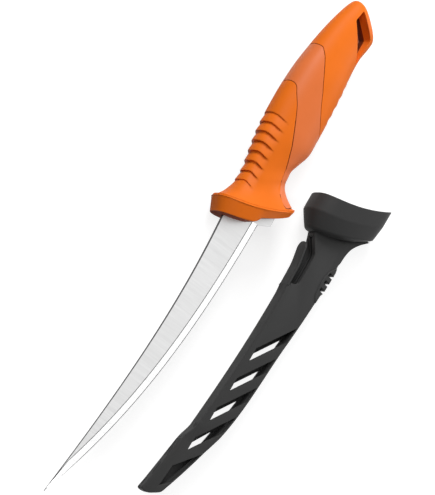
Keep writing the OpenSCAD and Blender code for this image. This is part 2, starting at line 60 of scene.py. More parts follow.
# The CAD's own places and sizes, in millimetres
KNIFE_ROOT = (13.85, 38.759, 14.5)
SHEATH_ROOT = (51.05, -13.541, 14.5)
SHEATH_TURN = math.radians(0.4)
BLADE_LEN, BLADE_W, BLADE_T, TIP_T, TIP_RISE = 177.5, 21.3, 2.0, 1.1, 7.7
HEEL_X, HEEL_BACK_X, HEEL_LOW_Y = 8.1, 12.3, -28.2
HANDLE_LEN, HANDLE_W, HANDLE_T = 149.8, 33.2, 23.2
GUARD_W, GUARD_T, GUARD_RISE, GUARD_LEAD, GUARD_SWEEP = 45.2, 29.0, 9.9, 7.4, 18.6
RIB_REAR_X, RIB_PITCH = 64.56, 6.1
PLUG_DEPTH, PLUG_STEP_DEPTH, PLUG_EDGE_DEPTH, PLUG_TAPER = 8.2, 5.2, 2.7, 3.2
SHEATH_T, SHEATH_TIP_T, FACE_WALL, SIDE_WALL, CLEAR = 8.6, 5.6, 1.7, 1.0, 0.4
CUP_LEN, TIP_ROOM, RAIL_W, TIP_SWELL = 21.5, 7.0, 4.6, 4.0
TONGUE_LEN, TONGUE_T, SLOT_W, TONGUE_END_X = 26.5, 1.5, 4.8, -19.5
TONGUE_ROOT_X = TONGUE_END_X - TONGUE_LEN
# Power of the superellipse in the handle's sections, and how much it gains at the guard's spine side
SKIN_POWER, GUARD_POWER_GAIN = 2.4, 0.3


def linear(hex_colour):
    """An sRGB hex colour as linear red, green, blue and alpha."""
    srgb = np.array([int(hex_colour[i : i + 2], 16) for i in (1, 3, 5)]) / 255
    rgb = np.where(srgb <= 0.04045, srgb / 12.92, ((srgb + 0.055) / 1.055) ** 2.4)
    return (*rgb.tolist(), 1.0)


# ---------------------------------------------------------------- settings


def length(name, description, millimetres, low, high):
    """A length property with its default and its limits in millimetres."""
    return FloatProperty(
        name=name, description=description, default=millimetres * MM, min=low * MM, max=high * MM,
        unit="LENGTH", subtype="DISTANCE", precision=5,
    )


def colour(name, description, hex_colour):
    """A colour property with an sRGB default."""
    return FloatVectorProperty(
        name=name, description=description, default=linear(hex_colour), size=4, subtype="COLOR",
        min=0, max=1,
    )


class FilletKnifeSettings(bpy.types.PropertyGroup):
    bevel_width: length("Bevel width", "Width of the ground bevel along the edge", 4.1, 2, 6)
    line_width: length("Line width", "Width of the dull line where two grinds meet", 0.42, 0.1, 0.8)
    rib_depth: length("Rib depth", "Height of the lips between the thumb ribs", 1.5, 0.2, 2)
    ripple_depth: length("Ripple depth", "Depth of the finger ripples under the handle", 0.35, 0, 0.8)
    seam_width: length("Seam width", "Half the width of the groove between two skins", 0.28, 0.1, 0.6)
    seam_depth: length("Seam depth", "Depth of the groove between two skins", 0.9, 0.2, 1.4)
    plug_ledge: length("Plug ledge", "Ledge round the foot of the plug", 0.5, 0.2, 1.4)
    hole_draft: length("Hole bevel", "Width of the slanted wall of the lanyard hole", 1.3, 0.5, 3)


class MouldedSheathSettings(bpy.types.PropertyGroup):
    edge_radius: length("Edge radius", "Radius on the outline and the windows", 0.45, 0.1, 0.6)
    lip_radius: length("Lip radius", "Radius on the cup's mouth", 0.4, 0.1, 0.5)
    pad_height: length("Pad height", "Height of the raised border round the notches", 0.45, 0.1, 0.8)


class FinishSettings(bpy.types.PropertyGroup):
    skin: colour("Skin", "Colour of the soft orange skin", "#E97118")
    core: colour("Core", "Colour of the hard core between the skins", "#DE7238")
    # Painted shade: the dark orange put down in the grooves, in the lanyard hole's middle and on the
    # plug's end
    seam: colour("Seam", "Colour down in the grooves and in the lanyard hole", "#742C06")
    sheath: colour("Sheath", "Colour of the moulded sheath", "#3A3A3A")
    flat: colour("Blade flat", "Colour of the satin flat", "#D6D6D6")
    bevel: colour("Blade bevel", "Colour of the ground bevel", "#F2F2F2")
    # Painted dark reflection along the spine, the cutting edge and where two grinds meet
    line: colour("Blade lines", "Colour of the spine and of the lines where two grinds meet", "#525252")


# ---------------------------------------------------------------- curves and grids


def smooth(share):
    """Cubic step: 3 s squared minus 2 s cubed, with s held between 0 and 1."""
    s = np.clip(share, 0, 1)
    return s * s * (3 - 2 * s)


def bezier(a, b, c, d, s):
    """Cubic Bezier height: the four controls weighed by the powers of s and 1 - s."""
    return a * (1 - s) ** 3 + 3 * b * s * (1 - s) ** 2 + 3 * c * s**2 * (1 - s) + d * s**3


def spine_at(x):
    """Height of the blade's spine: a Bezier from 0 that dips and then rises to the tip."""
    s = -np.asarray(x, float) / BLADE_LEN
    return bezier(0, -0.69 * TIP_RISE, 0.04 * TIP_RISE, TIP_RISE, s)


def edge_at(x):
    """Height of the cutting edge: a Bezier from the heel that sweeps up to the tip."""
    s = (HEEL_X - np.asarray(x, float)) / (HEEL_X + BLADE_LEN)
    return bezier(-BLADE_W, -BLADE_W, -0.79 * BLADE_W, TIP_RISE, s)


def table_at(rows, x):
    """Rows of numbers at x: cubic Hermite curves through the table, with slopes from the neighbours."""
    x = np.asarray(x, float)
    key = rows[:, 0]
    k = np.arange(len(rows))
    before, after = np.maximum(k - 1, 0), np.minimum(k + 1, len(rows) - 1)
    slope = (rows[after] - rows[before]) / (key[after] - key[before])[:, None]
    i = np.clip(np.searchsorted(key, x, "right") - 1, 0, len(rows) - 2)
    h = (key[i + 1] - key[i])[..., None]
    s = (x[..., None] - key[i][..., None]) / h
    r = 1 - s
    return (
        rows[i] * (1 + 2 * s) * r * r + slope[i] * h * s * r * r
        + rows[i + 1] * s * s * (3 - 2 * s) - slope[i + 1] * h * s * s * r
    )


def drawn_in(row, depth):
    """A row whose two ends and faces are moved in by depth. A row is one cross-section: x and y of its
    spine end, x and y of its edge end, half its thickness, and its bow towards the tip."""
    depth = np.asarray(depth, float)
    k = depth / (row[..., 1] - row[..., 3])
    return np.stack([
        row[..., 0] + (row[..., 2] - row[..., 0]) * k, row[..., 1] - depth,
        row[..., 2] + (row[..., 0] - row[..., 2]) * k, row[..., 3] + depth,
        row[..., 4] - depth, row[..., 5] + 0 * depth,
    ], -1)


def signed_power(value, power):
    """The size of a number raised to 2 / power, with the number's sign."""
    return np.sign(value) * np.abs(value) ** (2 / power)


def section(row, angle, power=SKIN_POWER):
    """Points of a cross-section: a superellipse whose cosine runs from the spine end to the edge end
    and whose sine is the thickness, both raised to 2 / power."""
    w = (1 - signed_power(np.cos(angle), power)) / 2
    return np.stack([
        row[..., 0] + (row[..., 2] - row[..., 0]) * w - 4 * row[..., 5] * w * (1 - w),
        row[..., 1] + (row[..., 3] - row[..., 1]) * w, row[..., 4] * signed_power(np.sin(angle), power),
    ], -1)


def boxy(angle, share=1.0):
    """Power of a section's superellipse: a share of the guard's gain is added on the spine side."""
    return SKIN_POWER + GUARD_POWER_GAIN * share * smooth((np.cos(angle) + 0.4) / 0.9)


def evened(ring, times):
    """A closed ring of numbers, each averaged with its neighbours as 1, 2, 1, some times over."""
    for _ in range(times):
        ring = (np.roll(ring, 1) + 2 * ring + np.roll(ring, -1)) / 4
    return ring


def past_line(points, line):
    """How far points lie behind a line that is given as x over falling y."""
    return points[..., 0] - np.interp(points[..., 1], line[::-1, 1], line[::-1, 0])


def quarter_round(radius, degrees=(30, 60, 90)):
    """Steps of a rounded edge: pairs of radius times 1 - sine and radius times 1 - cosine."""
    return [(radius * (1 - math.sin(a)), radius * (1 - math.cos(a))) for a in np.radians(degrees)]


def traced(curve, x_from, x_to, count):
    """Points of a curve at even steps of x."""
    x = np.linspace(x_from, x_to, count)
    return np.column_stack([x, curve(x)])


def grid_faces(rows, columns, closed_rows=False, capped=False):
    """Quads of a grid whose columns close on themselves. Its rows may close too, or its ends be
    capped."""
    k, i = np.meshgrid(np.arange(rows if closed_rows else rows - 1), np.arange(columns), indexing="ij")
    here, beyond, on = k * columns, (k + 1) % rows * columns, (i + 1) % columns
    faces = np.stack([here + i, beyond + i, beyond + on, here + on], -1).reshape(-1, 4).tolist()
    if capped:
        faces += [list(range(columns)), list(range(rows * columns - 1, (rows - 1) * columns - 1, -1))]
    return faces


def placed(points, root, turn=0.0):
    """Points in millimetres round a root, turned about Z and moved to the root, in metres."""
    p = np.asarray(points, float).reshape(-1, 3)
    c, s = math.cos(turn), math.sin(turn)
    turned = np.stack([p[:, 0] * c - p[:, 1] * s, p[:, 0] * s + p[:, 1] * c, p[:, 2]], 1)
    return (turned + np.array(root)) * MM


def knife_points(points):
    """Points of the knife, moved from its root at zero to their place in the frame."""
    return placed(points, KNIFE_ROOT)


def sheath_points(points):
    """Points of the sheath, turned a little and moved to their place in the frame."""
    return placed(points, SHEATH_ROOT, SHEATH_TURN)


def added(name, data):
    """A new object in the scene."""
    obj = bpy.data.objects.new(name, data)
    bpy.context.scene.collection.objects.link(obj)
    return obj


def make_mesh(name, parts, crease_degrees=32.0, slots=None):
    """One object from parts of (points in metres, faces), with doubled points merged and faces
    outwards. Slots are the material numbers of the first faces."""
    faces, start = [], 0
    for points, part_faces in parts:
        faces += [[start + v for v in face] for face in part_faces]
        start += len(points)
    mesh = bpy.data.meshes.new(name)
    mesh.from_pydata(np.concatenate([points for points, _ in parts]).tolist(), [], faces)
    if slots is not None:
        numbers = np.zeros(len(mesh.polygons), int)
        numbers[: len(slots)] = slots
        mesh.polygons.foreach_set("material_index", numbers)
    obj = added(name, mesh)
    tidy_mesh(obj, crease_degrees)
    return obj


def tidy_mesh(obj, crease_degrees, outwards=True):
    """Merges doubled points, drops flat faces, turns the faces outwards and marks the sharp edges."""
    bm = bmesh.new()
    bm.from_mesh(obj.data)
    bmesh.ops.remove_doubles(bm, verts=bm.verts, dist=2e-6)
    bmesh.ops.dissolve_degenerate(bm, edges=bm.edges, dist=1e-6)
    if outwards:
        bmesh.ops.recalc_face_normals(bm, faces=bm.faces)
    bm.to_mesh(obj.data)
    bm.free()
    obj.data.shade_smooth()
    obj.data.set_sharp_from_angle(angle=math.radians(crease_degrees))
    obj.data.update()


def cut_away(obj, cutters, crease_degrees=32.0):
    """The object without the cutters, with the cut applied to its mesh and the cutters removed."""
    for cutter in cutters:
        modifier = obj.modifiers.new("cut", "BOOLEAN")
        modifier.operation = "DIFFERENCE"
        modifier.solver = "EXACT"
        modifier.object = cutter
    bpy.context.view_layer.update()
    cut = bpy.data.meshes.new_from_object(obj.evaluated_get(bpy.context.evaluated_depsgraph_get()))
    obj.modifiers.clear()
    obj.data = cut
    for cutter in cutters:
        bpy.data.objects.remove(cutter)
    tidy_mesh(obj, crease_degrees, outwards=False)


def finish(obj, body, slot, replaced, *materials):
    """The piece's finishes, the body it rides on and the CAD node it stands for. The slot argument is not
    used.
    """
    for material in materials:
        obj.data.materials.append(material)
    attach(obj, body)
    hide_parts(replaced)


# ---------------------------------------------------------------- finishes


def add_node(tree, kind, inputs=None, **settings):
    """One shader node with its settings, and its inputs given values or linked from other outputs."""
    made = tree.nodes.new("ShaderNode" + kind)
    for name, value in settings.items():
        setattr(made, name, value)
    for key, value in (inputs or {}).items():
        if isinstance(value, bpy.types.NodeSocket):
            tree.links.new(value, made.inputs[key])
        else:
            made.inputs[key].default_value = value
    return made


def new_material(name):
    """An empty node material and its output."""
    material = bpy.data.materials.new(name)
    material.use_nodes = True
    tree = material.node_tree
    tree.nodes.clear()
    return material, tree, tree.nodes.new("ShaderNodeOutputMaterial")


def shifted(rgba, factor):
    """A colour with each channel times a factor."""
    return (*[min(c * factor, 1.0) for c in rgba[:3]], 1.0)


def follow_pattern(tree, output, pattern, rgba, shades, roughness, spread, bump, constants):
    """A surface whose colour goes between two shades and whose roughness goes between its two ends as
    a pattern rises, with a bump, and with constants on the shader's other sockets."""
    base = add_node(tree, "Mix", {0: pattern, 6: shifted(rgba, shades[0]), 7: shifted(rgba, shades[1])},
                    data_type="RGBA")
    gloss = add_node(tree, "MapRange", {
        0: pattern, 1: 0.3, 2: 0.7, 3: roughness - spread, 4: roughness + spread,
    })
    shader = add_node(tree, "BsdfPrincipled", {
        "Base Color": base.outputs[2], "Roughness": gloss.outputs[0], "Normal": bump.outputs[0],
        **constants,
    })
    tree.links.new(shader.outputs[0], output.inputs[0])


def moulded(name, rgba, roughness, spread, grain_mm, grain_strength, mirror):
    """A moulded plastic or rubber: slow noise, 14 mm across, moves its colour and gloss a little, and
    fine noise is its grain."""
    material, tree, output = new_material(name)
    place = add_node(tree, "TexCoord").outputs["Object"]
    cloud = add_node(tree, "TexNoise", {"Vector": place, "Scale": 1 / (14 * MM), "Detail": 4.0})
    grain = add_node(tree, "TexNoise", {
        "Vector": place, "Scale": 1 / (grain_mm * MM), "Detail": 3.0, "Roughness": 0.6,
    })
    bump = add_node(tree, "Bump", {
        "Height": grain.outputs[0], "Strength": grain_strength, "Distance": 0.05 * MM,
    })
    follow_pattern(tree, output, cloud.outputs[0], rgba, (0.93, 1.06), roughness, spread, bump,
                   {"IOR": 1.47, "Specular IOR Level": mirror})
    return material


def ground_steel(name, rgba, roughness, spread, line_mm, line_strength):
    """Stainless steel with grinding lines: noise drawn out over 22 mm across the blade, thin along it."""
    material, tree, output = new_material(name)
    place = add_node(tree, "TexCoord").outputs["Object"]
    along = add_node(tree, "Mapping", {
        "Vector": place, "Scale": (1 / (line_mm * MM), 1 / (22 * MM), 1 / (22 * MM)),
    })
    lines = add_node(tree, "TexNoise", {
        "Vector": along.outputs[0], "Scale": 1.0, "Detail": 4.0, "Roughness": 0.65,
    })
    bump = add_node(tree, "Bump", {
        "Height": lines.outputs[0], "Strength": line_strength, "Distance": 0.02 * MM,
    })
    follow_pattern(tree, output, lines.outputs[0], rgba, (0.9, 1.05), roughness, spread, bump,
                   {"Metallic": 1.0})
    return material


# How each finish is made, its colour, its roughness and the spread of that, and then for a moulded one
# its grain in mm, the grain's strength and its specular level, or for steel its lines in mm and their
# strength
FINISHES = {
    # Soft thermoplastic elastomer: matt, slightly powdery, a bright orange with faint clouding.
    # Its real grain is finer than a pixel, so it is drawn 0.5 mm across.
    "moulded_orange_elastomer": (moulded, "skin", 0.5, 0.07, 0.5, 0.25, 0.15),
    # The rough elastomer down in the grooves, in the lanyard hole's middle and on the plug's end: a dull
    # dark orange that is painted shade for the shadow that falls there.
    "recessed_orange_seam": (moulded, "seam", 0.7, 0.05, 0.5, 0.2, 0.1),
    # Harder polypropylene: a paler salmon orange, a little glossier than the skin.
    "moulded_core_polypropylene": (moulded, "core", 0.42, 0.05, 0.6, 0.12, 0.25),
    # Spark-textured black polypropylene: matt with a grain that is drawn 0.6 mm across.
    "moulded_black_polypropylene": (moulded, "sheath", 0.5, 0.06, 0.6, 0.3, 0.1),
    # Satin flat: fine lines across the blade, drawn 0.45 mm apart.
    "satin_stainless_steel": (ground_steel, "flat", 0.36, 0.06, 0.45, 0.25),
    # Freshly ground bevel: brighter and smoother than the flat, its lines 0.35 mm apart.
    "ground_stainless_steel": (ground_steel, "bevel", 0.3, 0.06, 0.35, 0.15),
    # Painted dark reflection on the spine, the cutting edge and the lines where two grinds meet: a
    # darker, duller steel. dull and darker.
    "burred_stainless_steel": (ground_steel, "line", 0.5, 0.06, 0.6, 0.2),
}


def material_for(kind):
    """The finish of a kind, made once from the scene's colours."""
    if kind in bpy.data.materials:
        return bpy.data.materials[kind]
    make, colour_name, *numbers = FINISHES[kind]
    return make(kind, tuple(getattr(bpy.context.scene.finish_settings, colour_name)), *numbers)


# ---------------------------------------------------------------- handle

ANGLES = np.linspace(0, 2 * np.pi, 144, endpoint=False)
HANDLE_SHARES = np.array([
    [0.155, 0.1, 0.256, -0.657, 0.405, 0.036], [0.202, 0.11, 0.289, -0.648, 0.397, 0.018],
    [0.269, 0.169, 0.326, -0.702, 0.427, 0], [0.35, 0.229, 0.377, -0.777, 0.47, 0],
    [0.431, 0.25, 0.431, -0.777, 0.487, 0], [0.538, 0.258, 0.538, -0.759, 0.5, 0],
    [0.646, 0.234, 0.646, -0.732, 0.491, 0], [0.74, 0.178, 0.727, -0.693, 0.457, 0],
    [0.834, 0.105, 0.794, -0.69, 0.414, 0], [0.915, 0.015, 0.845, -0.729, 0.379, 0],
    [0.964, -0.06, 0.868, -0.743, 0.353, 0], [0.985, -0.125, 0.886, -0.742, 0.31, 0],
    [0.994, -0.235, 0.908, -0.69, 0.224, 0],
])
HANDLE_ROWS = HANDLE_SHARES * [HANDLE_LEN, HANDLE_W, HANDLE_LEN, HANDLE_W, HANDLE_T, HANDLE_W]
RIM_ROW = np.array([GUARD_LEAD, GUARD_RISE, GUARD_LEAD + GUARD_SWEEP, GUARD_RISE - GUARD_W, GUARD_T / 2,
                    0.082 * GUARD_W])
NECK_X, BUTT_X = HANDLE_ROWS[0, 0], HANDLE_ROWS[-1, 0]
# Where the skins meet, as shares of the handle's length and width
FRONT_SEAM = np.array([
    [0.566, 0.8], [0.562, 0.232], [0.558, 0.181], [0.547, 0.133], [0.528, 0.102], [0.486, -0.015],
    [0.43, -0.136], [0.378, -0.25], [0.331, -0.343], [0.282, -0.437], [0.237, -0.527], [0.148, -0.69],
    [0.15, -0.801], [0.18, -0.982], [0.24, -1.4],
]) * [HANDLE_LEN, HANDLE_W]
REAR_SEAM = np.array([
    [0.74, 0.8], [0.74, 0.18], [0.737, 0.087], [0.709, 0], [0.647, -0.136], [0.587, -0.28],
    [0.54, -0.389], [0.497, -0.524], [0.441, -0.735], [0.24, -1.4],
]) * [HANDLE_LEN, HANDLE_W]
SKIN_T, RIM_RADIUS, BUTT_RADIUS = 2.6, 0.4, 2.4
PLUG_ROUND, PLUG_END_TAPER = 0.6, 0.6
# The plug's hidden rings inside the guard: how far each is drawn in at its two ends, its half thickness,
# and how far it lies ahead of the rim. Then how far ahead the plug's ledge starts
PLUG_INSIDE, LEDGE_AHEAD = ((14, 14, 3, 5.0), (6, 6, 8, 4.0)), 1.5
RIPPLE_PITCH, RIPPLE_FROM_X, RIPPLE_TO_X = 6.5, 74, 108
RIB_STRENGTH = np.array([0.55, 0.85, 1, 1, 1, 0.95, 0.8, 0.5])
RIB_BOW, RIB_BOW_GAIN, RIB_SHOULDER = 1.8, 0.4, math.radians(22)
# How a skin rolls into a groove: shares of the groove's half width and of its depth
SEAM_PROFILE = ((0.0, 1.0), (0.15, 0.45), (0.5, 0.13), (1.0, 0.0))
FRONT_ROW_STEP, BAND_ROW_STEP, REAR_ROW_STEP, BUTT_STEPS = 0.36, 0.7, 0.55, (0, 18, 36, 54, 72, 90)


def handle_row(t):
    """The handle's row at t: through the table, and from the rim to the neck on 1 - (1 - s) ^ 2.3."""
    t = np.asarray(t, float)
    rows = table_at(HANDLE_ROWS, np.maximum(t, NECK_X))
    s = np.clip((t - GUARD_LEAD) / (NECK_X - GUARD_LEAD), 0, 1)
    e = (1 - (1 - s) ** 2.3)[..., None]
    s = s[..., None]
    mix = np.concatenate([s, e, s, e, e, e], -1)
    return np.where((t < NECK_X)[..., None], RIM_ROW + (HANDLE_ROWS[0] - RIM_ROW) * mix, rows)


def rib_recess(x, angle, depth):
    """Depth of the thumb ribs: saw teeth along x, deepest just ahead of each lip, that bow over the
    shoulder and die out down the faces."""
    turn = np.abs((angle + np.pi) % (2 * np.pi) - np.pi)
    bow = RIB_BOW + RIB_BOW_GAIN * (RIB_REAR_X - x) / RIB_PITCH
    bow = bow * np.cos(2.2 * np.maximum(turn - RIB_SHOULDER, 0))
    lip = (RIB_REAR_X - 0.5 * RIB_PITCH - (x - bow)) / (1.03 * RIB_PITCH)
    tooth = np.clip(np.floor(lip), 0, len(RIB_STRENGTH) - 1).astype(int)
    s = lip - tooth
    profile = np.where((lip > 0) & (s <= 1), smooth(s / 0.07) * (1 - np.clip(s, 0, 1)) ** 1.3, 0)
    fade = smooth((np.cos(turn) - 0.3) / 0.35)
    return depth * RIB_STRENGTH[tooth] * profile * fade


def ripple_recess(x, angle, depth):
    """Depth of the finger ripples: a raised cosine along x on the edge side of the rear grip."""
    wave = (1 - np.cos(2 * np.pi * (x - RIPPLE_FROM_X + 4) / RIPPLE_PITCH)) / 2
    ends = smooth((x - RIPPLE_FROM_X) / 5) * smooth((RIPPLE_TO_X - x) / 6)
    return depth * wave * ends * smooth((-np.cos(angle) - 0.75) / 0.2)


def handle_skin(t, angle, depth=0.0):
    """The handle's surface at station t and angle, drawn in by depth, a little boxier at the guard."""
    settings = bpy.context.scene.fillet_knife
    row = handle_row(t)
    near_rim = 1 - np.clip((t - GUARD_LEAD) / (NECK_X - GUARD_LEAD), 0, 1)
    recess = rib_recess(row[..., 0], angle, settings.rib_depth / MM)
    recess = recess + ripple_recess(row[..., 0], angle, settings.ripple_depth / MM)
    return section(drawn_in(row, depth + recess), angle, boxy(angle, near_rim**2))


def seam_stations(seam):
    """For each angle, the station where the surface first crosses a seam, evened out a little."""
    t = np.linspace(GUARD_LEAD, BUTT_X, 1600)
    past = past_line(section(handle_row(t[:, None] + 0 * ANGLES), ANGLES + 0 * t[:, None]), seam)
    k = np.maximum(np.argmax(past > 0, axis=0), 1)
    i = np.arange(len(ANGLES))
    a, b = past[k - 1, i], past[k, i]
    return evened(t[k - 1] + (t[k] - t[k - 1]) * -a / (b - a), 2)


def seam_reach(stations):
    """Half the groove's width as a step along the handle: it grows where the seam runs along the handle,
    by one over the square root of 1 minus its slope squared."""
    p = section(handle_row(stations), ANGLES)
    around = np.linalg.norm(np.roll(p, -1, 0) - np.roll(p, 1, 0), axis=-1)
    slope = np.abs(np.roll(stations, -1) - np.roll(stations, 1)) / around
    reach = 1 / np.sqrt(np.maximum(1 - np.minimum(slope, 0.99) ** 2, 0.04))
    return bpy.context.scene.fillet_knife.seam_width / MM * evened(reach, 3)


def beside_seam(stations, side):
    """Where the even rows start or end on one side of a seam: 0.4 mm clear of its groove."""
    return stations + side * (seam_reach(stations) + 0.4)


def seam_rows(stations, side):
    """Rows that roll the skin down into the seam: pairs of stations and depths, from the groove out."""
    depth = bpy.context.scene.fillet_knife.seam_depth / MM
    reach = seam_reach(stations)
    return [(stations + side * reach * s, depth * d + 0 * stations) for s, d in SEAM_PROFILE]


def skin_solid(rows, closed=True):
    """A closed solid from rows of (stations, depths), and the slot of each face: 1 in the grooves, where
    the skin lies between 0.2 and 1 mm deep ahead of the butt's rounding, and 0 elsewhere. A closed tube
    ends where it starts."""
    stations, depths = np.array([r[0] for r in rows]), np.array([r[1] for r in rows])
    points = handle_skin(stations, ANGLES + 0 * stations, depths)
    mean = (depths + np.roll(depths, -1, 0)) / 2
    # Faces down in the grooves take slot 1, the painted groove shade
    grooved = (mean > 0.2) & (mean < 1) & (stations < BUTT_X - 3)
    faces = grid_faces(len(rows), len(ANGLES), closed_rows=closed)
    return (knife_points(points), faces), grooved[: len(faces) // len(ANGLES)].ravel().astype(int)


def between(start, end, step):
    """Rows at even stations, held between two slanted ends."""
    nominal = np.arange(start.min(), end.max(), step)
    return [(np.clip(t, start, np.maximum(end, start)), 0 * start) for t in nominal]


def inner_wall(start, end, count=6):
    """Rows of the wall under the skin, from the far end back to the near end."""
    return [(start + (end - start) * s, SKIN_T + 0 * start) for s in np.linspace(1, 0, count)]


def rim_x(y):
    """The swept arc on which the guard's rim lies, as x at each y."""
    w = (GUARD_RISE - y) / GUARD_W
    return RIM_ROW[0] + (RIM_ROW[2] - RIM_ROW[0]) * w - 4 * RIM_ROW[5] * w * (1 - w)


def rim_section(top_in, end_in, half, ahead=0.0, reach=0.0):
    """A ring parallel to the rim: drawn in at its spine end and its edge end, half as thick as given,
    moved ahead, and set back by a share of the plug's reach."""
    row = np.array([0, GUARD_RISE - top_in, 0, GUARD_RISE - GUARD_W + end_in, half, 0.0])
    y, z = section(row, ANGLES, boxy(ANGLES))[:, 1:].T
    return np.stack([rim_x(y) + ahead - reach * plug_reach(y), y, z], 1)


def plug_reach(y):
    """How deep the plug goes at each y: full on the spine side, a step, then a slope to the edge side."""
    step_y, run, low = GUARD_RISE - 0.53 * GUARD_W, 0.02 * GUARD_W, GUARD_RISE - GUARD_W
    share = (y - low) / (step_y - run - low)
    shallow = PLUG_EDGE_DEPTH + (PLUG_STEP_DEPTH - PLUG_EDGE_DEPTH) * share
    stepped = (PLUG_DEPTH - PLUG_STEP_DEPTH) * smooth((y - step_y + run) / (1.6 * run))
    return np.where(y > step_y - run, PLUG_STEP_DEPTH + stepped, shallow)


def guard_plug():
    """The plug as a closed solid: rings from inside the guard over the ledge to its rounded, stepped end.
    Also gives the slot of each face: 1 on the end, which takes the grooves' rough finish and their
    painted shade."""
    ledge = bpy.context.scene.fillet_knife.plug_ledge / MM
    half = GUARD_T / 2 - ledge
    rings = [rim_section(*ring) for ring in (*PLUG_INSIDE, (ledge, ledge, half, LEDGE_AHEAD))]
    for s in np.linspace(0, 1, 9):
        rings.append(rim_section(ledge + PLUG_TAPER * s, ledge + PLUG_END_TAPER * s,
                                 half - PLUG_TAPER / 2 * s, PLUG_ROUND * s, s))
    top, end, thick = ledge + PLUG_TAPER, ledge + PLUG_END_TAPER, half - PLUG_TAPER / 2
    ending = quarter_round(PLUG_ROUND)
    ending += [(0, PLUG_ROUND + s * (thick - PLUG_ROUND)) for s in (0.3, 0.6, 0.85, 1.0)]
    for ahead, inset in ending:
        rings.append(rim_section(top + inset, end + inset, thick - inset, ahead, 1.0))
    rings.insert(0, rings[0] * [1, 1, 0])
    # The last rings, the plug's end, take slot 1: painted shade where the end lies in shadow
    slots = np.repeat(np.arange(len(rings) - 1) > len(rings) - 6, len(ANGLES))
    return (knife_points(np.concatenate(rings)), grid_faces(len(rings), len(ANGLES))), slots


def rounded_polygon(corners, radius, steps=5):
    """A polygon whose corners are quadratic curves that start and end one radius from each corner."""
    out = []
    for k in range(len(corners)):
        here, back, on = corners[k], corners[k - 1], corners[(k + 1) % len(corners)]
        a = here + (back - here) / np.linalg.norm(back - here) * radius
        b = here + (on - here) / np.linalg.norm(on - here) * radius
        s = np.linspace(0, 1, steps)[:, None]
        out.append(a * (1 - s) ** 2 + 2 * here * s * (1 - s) + b * s**2)
    return np.concatenate(out)


def offset_loop(loop, inset):
    """A closed loop moved to its left by inset: each point goes along the sum of its two edges' normals
    over one plus their dot product, which keeps the distance to both edges."""
    along = np.roll(loop, -1, 0) - loop
    along /= np.linalg.norm(along, axis=1)[:, None] + 1e-12
    n2 = np.stack([-along[:, 1], along[:, 0]], 1)
    n1 = np.roll(n2, 1, 0)
    return loop + (n1 + n2) / np.maximum(1 + (n1 * n2).sum(1), 0.35)[:, None] * inset


HOLE_CORNERS = np.array([[134.8, -6.2], [142.4, -7.9], [131.2, -20.7], [114.4, -20.3]])
# Heights from the middle plane: where the straight middle ends, where the slant ends, and past the skin
HOLE_MIDDLE_Z, HOLE_SLANT_Z, HOLE_PAST_Z = 2.6, 6.4, 16
HOLE_RADIUS, HOLE_MIDDLE_RADIUS = 1.0, 0.8


def hole_cutter():
    """The lanyard hole's cutter: its outline at levels of z, slanting in to a straight middle."""
    draft = bpy.context.scene.fillet_knife.hole_draft / MM
    upper = [(HOLE_MIDDLE_Z, draft), (HOLE_SLANT_Z, 0), (HOLE_PAST_Z, 0)]
    rings = []
    for z, inset in [(-z, inset) for z, inset in upper[::-1]] + upper:
        radius = HOLE_MIDDLE_RADIUS if inset else HOLE_RADIUS
        ring = rounded_polygon(offset_loop(HOLE_CORNERS[::-1], inset), radius)
        rings.append(np.column_stack([ring, np.full(len(ring), z)]))
    columns = len(rings[0])
    # The straight middle of the hole takes slot 1, painted shade for the depth of the hole
    return make_mesh("hole_cutter", [
        (knife_points(np.concatenate(rings)), grid_faces(len(rings), columns, capped=True)),
    ], slots=np.repeat([0, 0, 1, 0, 0], columns))


